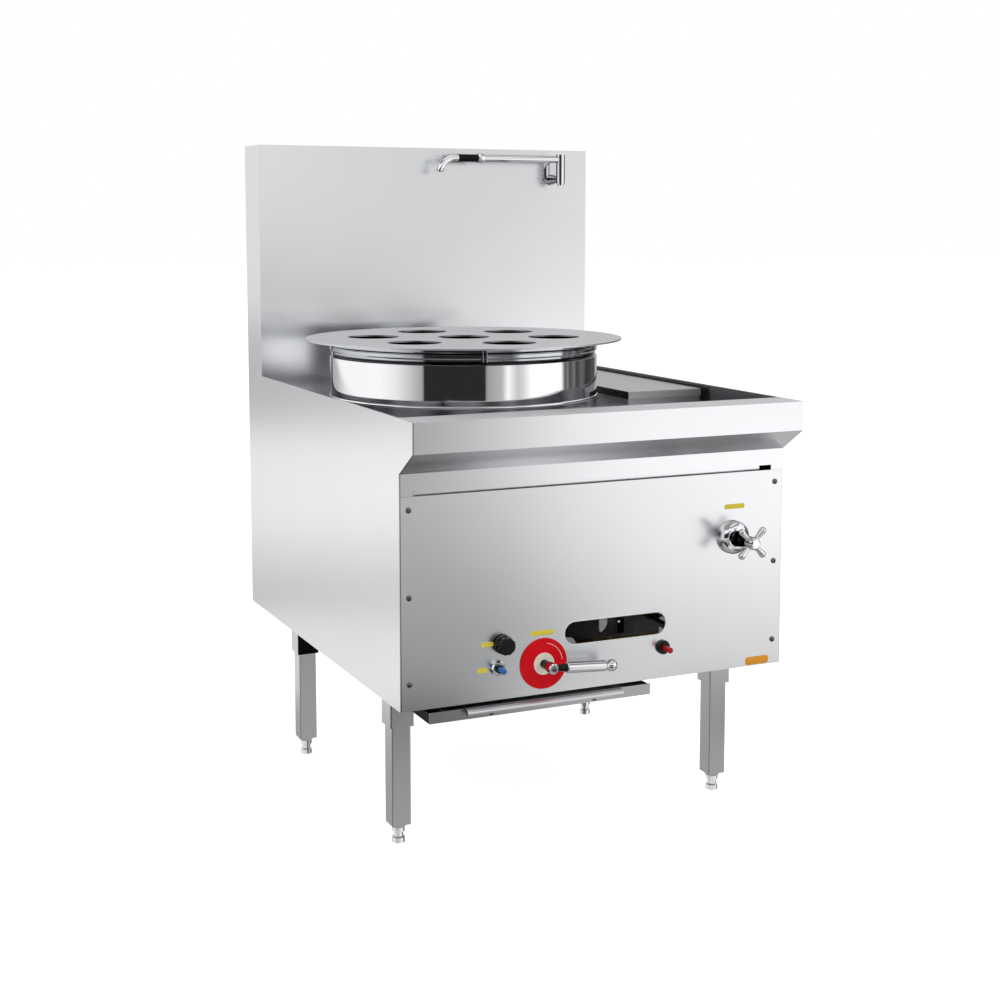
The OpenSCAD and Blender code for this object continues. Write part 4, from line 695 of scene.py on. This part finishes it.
# A pale band along the lid's front edge is a painted highlight; dark bands on the left faces are
# painted shade.
side_half, side_shade = 0.0009, "#5A5B5E"
cover_sheet = satin_steel("brushed stainless lid", "#BDBEC0", (900, 6, 900), rough=0.3,
                          marks=[(1, lid_front + 0.0006, 0.0014, "#FFFFFF"),
                                 (0, lid_left, side_half, side_shade)])
finish_in(cover_sheet, "float_box_cover")
box_sheet = satin_steel("brushed stainless float box", "#E0E1E3", (900, 6, 900), rough=0.3,
                        marks=[(0, box_left, side_half, side_shade)])
finish_in(box_sheet, "float_box", "balance_pipe")
machined_brass = soft_metal("machined brass", "#D8B25E", "#9C7A3C", 0.24)
drawn_copper = soft_metal("drawn copper", "#C9805A", "#7E4A34", 0.28, 0.03)
finish_in(machined_brass, "float_valve")
finish_in(drawn_copper, "float_arm")


# Furnace wall
# A rolled sheet ring round the burner, which hangs on the tabs behind the window and keeps the
# flames under the pot.

# Heat and soot have left it black and matt, so that it hardly shows through the window.
burnt_steel = scaled_iron("heat darkened sheet steel", "#070708", "#0E0E0E", 0.004, 0.7, 0.0002,
                          sheen=0.04)
finish_in(burnt_steel, "furnace_wall")


# Burner
# A cast iron drum with hollow arms, drilled and tapped for screwed brass jets. It stands on a
# cast bridge, and a brass pilot lights it from the front.

# The sand of the mould shows as a coarse grey skin, a little paler where it is rubbed.
sand_cast = scaled_iron("sand cast iron", "#232325", "#3B3836", 0.0022, 0.68, 0.0006)
finish_in(sand_cast, "burner_body", "burner_stand")
finish_in(machined_brass, "burner_jets", "pilot_burner")


# Gas train
# Brass valves and pipes behind the front panel, and the gas inlet that stands out at the back.
# The inlet's end is threaded for the fitter's union.
finish_in(machined_brass, "gas_pipe", "gas_valve", "burner_pipe", "pilot_valve")
inlet_start_y, inlet_end_y = 0.5065, 0.5225


def thread(form, x, z, radius, start_y=inlet_start_y, end_y=inlet_end_y, pitch=0.0018, steps=40):
    """Adds a pipe thread to a bmesh: ridges round an inlet, pitch apart, from start_y to end_y."""
    turns = int((end_y - start_y) / pitch)
    profile = [(radius - 0.0004, 0.0)]
    for k in range(turns):
        profile += [(radius - 0.0002, k * pitch), (radius + 0.0006, (k + 0.5) * pitch)]
    profile += [(radius - 0.0002, turns * pitch), (radius - 0.0004, turns * pitch)]
    rings = []
    for r, out in profile:
        rings.append([form.verts.new((x + r * math.cos(a), start_y + out, z + r * math.sin(a)))
                      for a in [2 * math.pi * k / steps for k in range(steps)]])
    rings.append(rings[0])
    for low, high in zip(rings, rings[1:]):
        for k in range(steps):
            j = (k + 1) % steps
            form.faces.new((low[k], low[j], high[j], high[k]))


threads = bmesh.new()
thread(threads, x=0.2575, z=0.3575, radius=0.01322)
piece("gas_inlet_thread", threads, machined_brass, "cabinet")


# Gas lever
# A red enamelled dial plate with a cream middle, behind a lever on the valve's stem: a chromed
# hub held by a screw, a black neck, and a chromed grip with a ball end.

# Enamel is glassy and even: a full colour under a soft gloss. The ink on it is thin and pale.
red_enamel = moulded("red enamelled plate", "#E81220", 0.35, relief=0.05, sheen=0.1)
cream_enamel = moulded("cream enamelled plate", "#FFF6E4", 0.35, relief=0.05)
finish_in(red_enamel, "dial_plate")
finish_in(cream_enamel, "dial_ring")
dial_x, dial_z, dial_face = -0.1109, 0.3575, panel_y - 0.002
white_ink = moulded("pale printed ink", "#F6D5D8", 0.45, relief=0.0)
arc = bmesh.new()
arc_start, arc_sweep, arc_steps = 82, 76, 24
arc_r, arc_half, ink = 0.03805, 0.00055, 0.0002
point_from, point_share = 76, 0.35
rows = []
for k in range(arc_steps + 1):
    degrees = arc_start - arc_sweep * k / arc_steps
    half = arc_half if degrees < point_from else arc_half * point_share
    a = math.radians(degrees)
    rows.append([arc.verts.new((dial_x + r * math.cos(a), dial_face - lift, dial_z + r * math.sin(a)))
                 for r, lift in ((arc_r - half, 0.0), (arc_r - half, ink),
                                 (arc_r + half, ink), (arc_r + half, 0.0))])
for low, high in zip(rows, rows[1:]):
    for k in range(len(low)):
        j = (k + 1) % len(low)
        arc.faces.new((low[k], low[j], high[j], high[k]))
arc.faces.new(rows[0])
arc.faces.new(rows[-1])
piece("dial_arc", arc, white_ink, "cabinet")
# Chrome mirrors everything, dark at its outline. The stem's black chrome keeps only the brightest
# part of it, and the phenolic neck is black with one soft highlight.
chrome = bright_metal("chrome plate", "#F4F5F7", 0.05, grazing="#26272A")
dark_chrome = bright_metal("black chrome plate", "#33272A", 0.12)
black_phenolic = moulded("black phenolic", "#0B0C0E", 0.28, sheen=0.3)
finish_in(chrome, "lever_hub", "lever_grip")
finish_in(dark_chrome, "valve_stem")
finish_in(black_phenolic, "lever_neck")
hub_screw, hub_face = bmesh.new(), -0.4870
screw_head(hub_screw, (dial_x, hub_face, dial_z), (0, -1, 0), radius=0.0046, rise=0.0022,
           turn=0.5)
piece("lever_hub_screw", hub_screw, plain_steel, "gas_lever")


# Pilot knob and push buttons
# A fluted phenolic knob for the pilot, and two nylon push buttons: the blue igniter in a chromed
# bezel, and the red flame safety in a black one.
finish_in(black_phenolic, "pilot_knob", "safety_bezel", "igniter_guide")
finish_in(chrome, "igniter_bezel")
# Moulded nylon is waxy: a deep even colour with a small clear highlight.
blue_nylon = moulded("blue nylon", "#2F6DB5", 0.25, sheen=0.4)
red_nylon = moulded("red nylon", "#B3121F", 0.25, sheen=0.3)
finish_in(blue_nylon, "igniter_button")
finish_in(red_nylon, "safety_button")


# Label plates
# Plain vinyl plates, stuck on beside each control and left bare: yellow for the controls, and
# orange at the lower corner.

# Vinyl film is bright and matt, with hardly a texture.
yellow_vinyl = moulded("yellow vinyl", "#F3E052", 0.4, relief=0.04, sheen=0.08)
orange_vinyl = moulded("orange vinyl", "#F0A53C", 0.4, relief=0.04, sheen=0.08)


def label_plate(name, left, right, low, high, material):
    """A thin plate with rounded corners on the front panel, its edges in metres."""
    form = bmesh.new()
    corner, corner_steps = min(high - low, right - left) * 0.35, 6
    outline = []
    for cx, cz, start in ((right - corner, high - corner, 0), (left + corner, high - corner, 90),
                          (left + corner, low + corner, 180), (right - corner, low + corner, 270)):
        for k in range(corner_steps + 1):
            a = math.radians(start + 90 * k / corner_steps)
            outline.append((cx + corner * math.cos(a), cz + corner * math.sin(a)))
    thick, shoulder, drawn_x, drawn_z = 0.0004, 0.6, 0.01, 0.03
    back = [form.verts.new((x, panel_y, z)) for x, z in outline]
    edge = [form.verts.new((x, panel_y - thick * shoulder, z)) for x, z in outline]
    mid_x, mid_z = (left + right) / 2, (low + high) / 2
    front = [form.verts.new((x + (mid_x - x) * drawn_x, panel_y - thick,
                             z + (mid_z - z) * drawn_z)) for x, z in outline]
    count = len(outline)
    for a, b in ((back, edge), (edge, front)):
        for k in range(count):
            form.faces.new((a[k], a[(k + 1) % count], b[(k + 1) % count], b[k]))
    form.faces.new(front)
    form.faces.new(list(reversed(back)))
    piece(name, form, material, "cabinet")


label_plate("pilot_label", -0.2355, -0.2115, 0.4008, 0.4092, yellow_vinyl)
label_plate("igniter_label", -0.2435, -0.2235, 0.3535, 0.3625, yellow_vinyl)
label_plate("main_label", -0.1371, -0.0892, 0.4105, 0.4195, yellow_vinyl)
label_plate("water_label", 0.2755, 0.3208, 0.6151, 0.6245, yellow_vinyl)
label_plate("corner_label", 0.3285, 0.3815, 0.302, 0.318, orange_vinyl)


# Water tap and pipes
# A chromed cross head tap on the front panel. Copper pipes join its brass body to the float box,
# to the water inlet at the back, and up to the faucet.

# The bonnet and the neck are painted dark between bright rims: a painted dark reflection on the
# chrome.
tap_x, tap_z, across_y = 0.2949, 0.56, (1.0, 0.0, 1.0)
finish_in(bright_metal("chrome plate, painted dark bonnet", "#F4F5F7", 0.05, grazing="#26272A",
                       shaded=((tap_x, 0.0, tap_z), across_y, (0.0146, 0.0166), "#242427")),
          "tap_flange")
finish_in(bright_metal("chrome plate, painted dark neck", "#F4F5F7", 0.05, grazing="#26272A",
                       marks=[(1, -0.4850, 0.0125, "#1E1E21")]), "tap_handle")
finish_in(machined_brass, "tap_body")
finish_in(drawn_copper, "water_pipe", "fill_pipe")
threads = bmesh.new()
thread(threads, x=tap_x, z=tap_z, radius=0.01048)
piece("water_inlet_thread", threads, machined_brass, "cabinet")


# Swing faucet
# A chromed swing arm on a wall mount near the top of the splashback, with a black grip, held by a
# chromed nut, to turn it by when it is hot.
finish_in(chrome, "faucet_mount", "faucet_arm")
# The sleeve's vinyl is matt and pebbled, and stays black in the light.
black_sleeve = moulded("black vinyl sleeve", "#141518", 0.5, grain_m=0.002, relief=0.3)
finish_in(black_sleeve, "faucet_grip")
grip_low, grip_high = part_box("faucet_grip")
grip_middle = (grip_low + grip_high) / 2
nut, nut_long, nut_hole, nut_face, nut_r = bmesh.new(), 0.0145, 0.0075, 0.0093, 0.0101
turned(nut, [(nut_hole, 0.0), (nut_face, 0.0), (nut_r, 0.0012), (nut_r, 0.0128), (nut_face, nut_long),
             (nut_hole, nut_long), (nut_hole, 0.0)],
       (grip_high[0], grip_middle[1], grip_middle[2]), (1, 0, 0))
bmesh.ops.remove_doubles(nut, verts=nut.verts, dist=0.00001)
piece("faucet_grip_nut", nut, chrome, "swing_faucet")
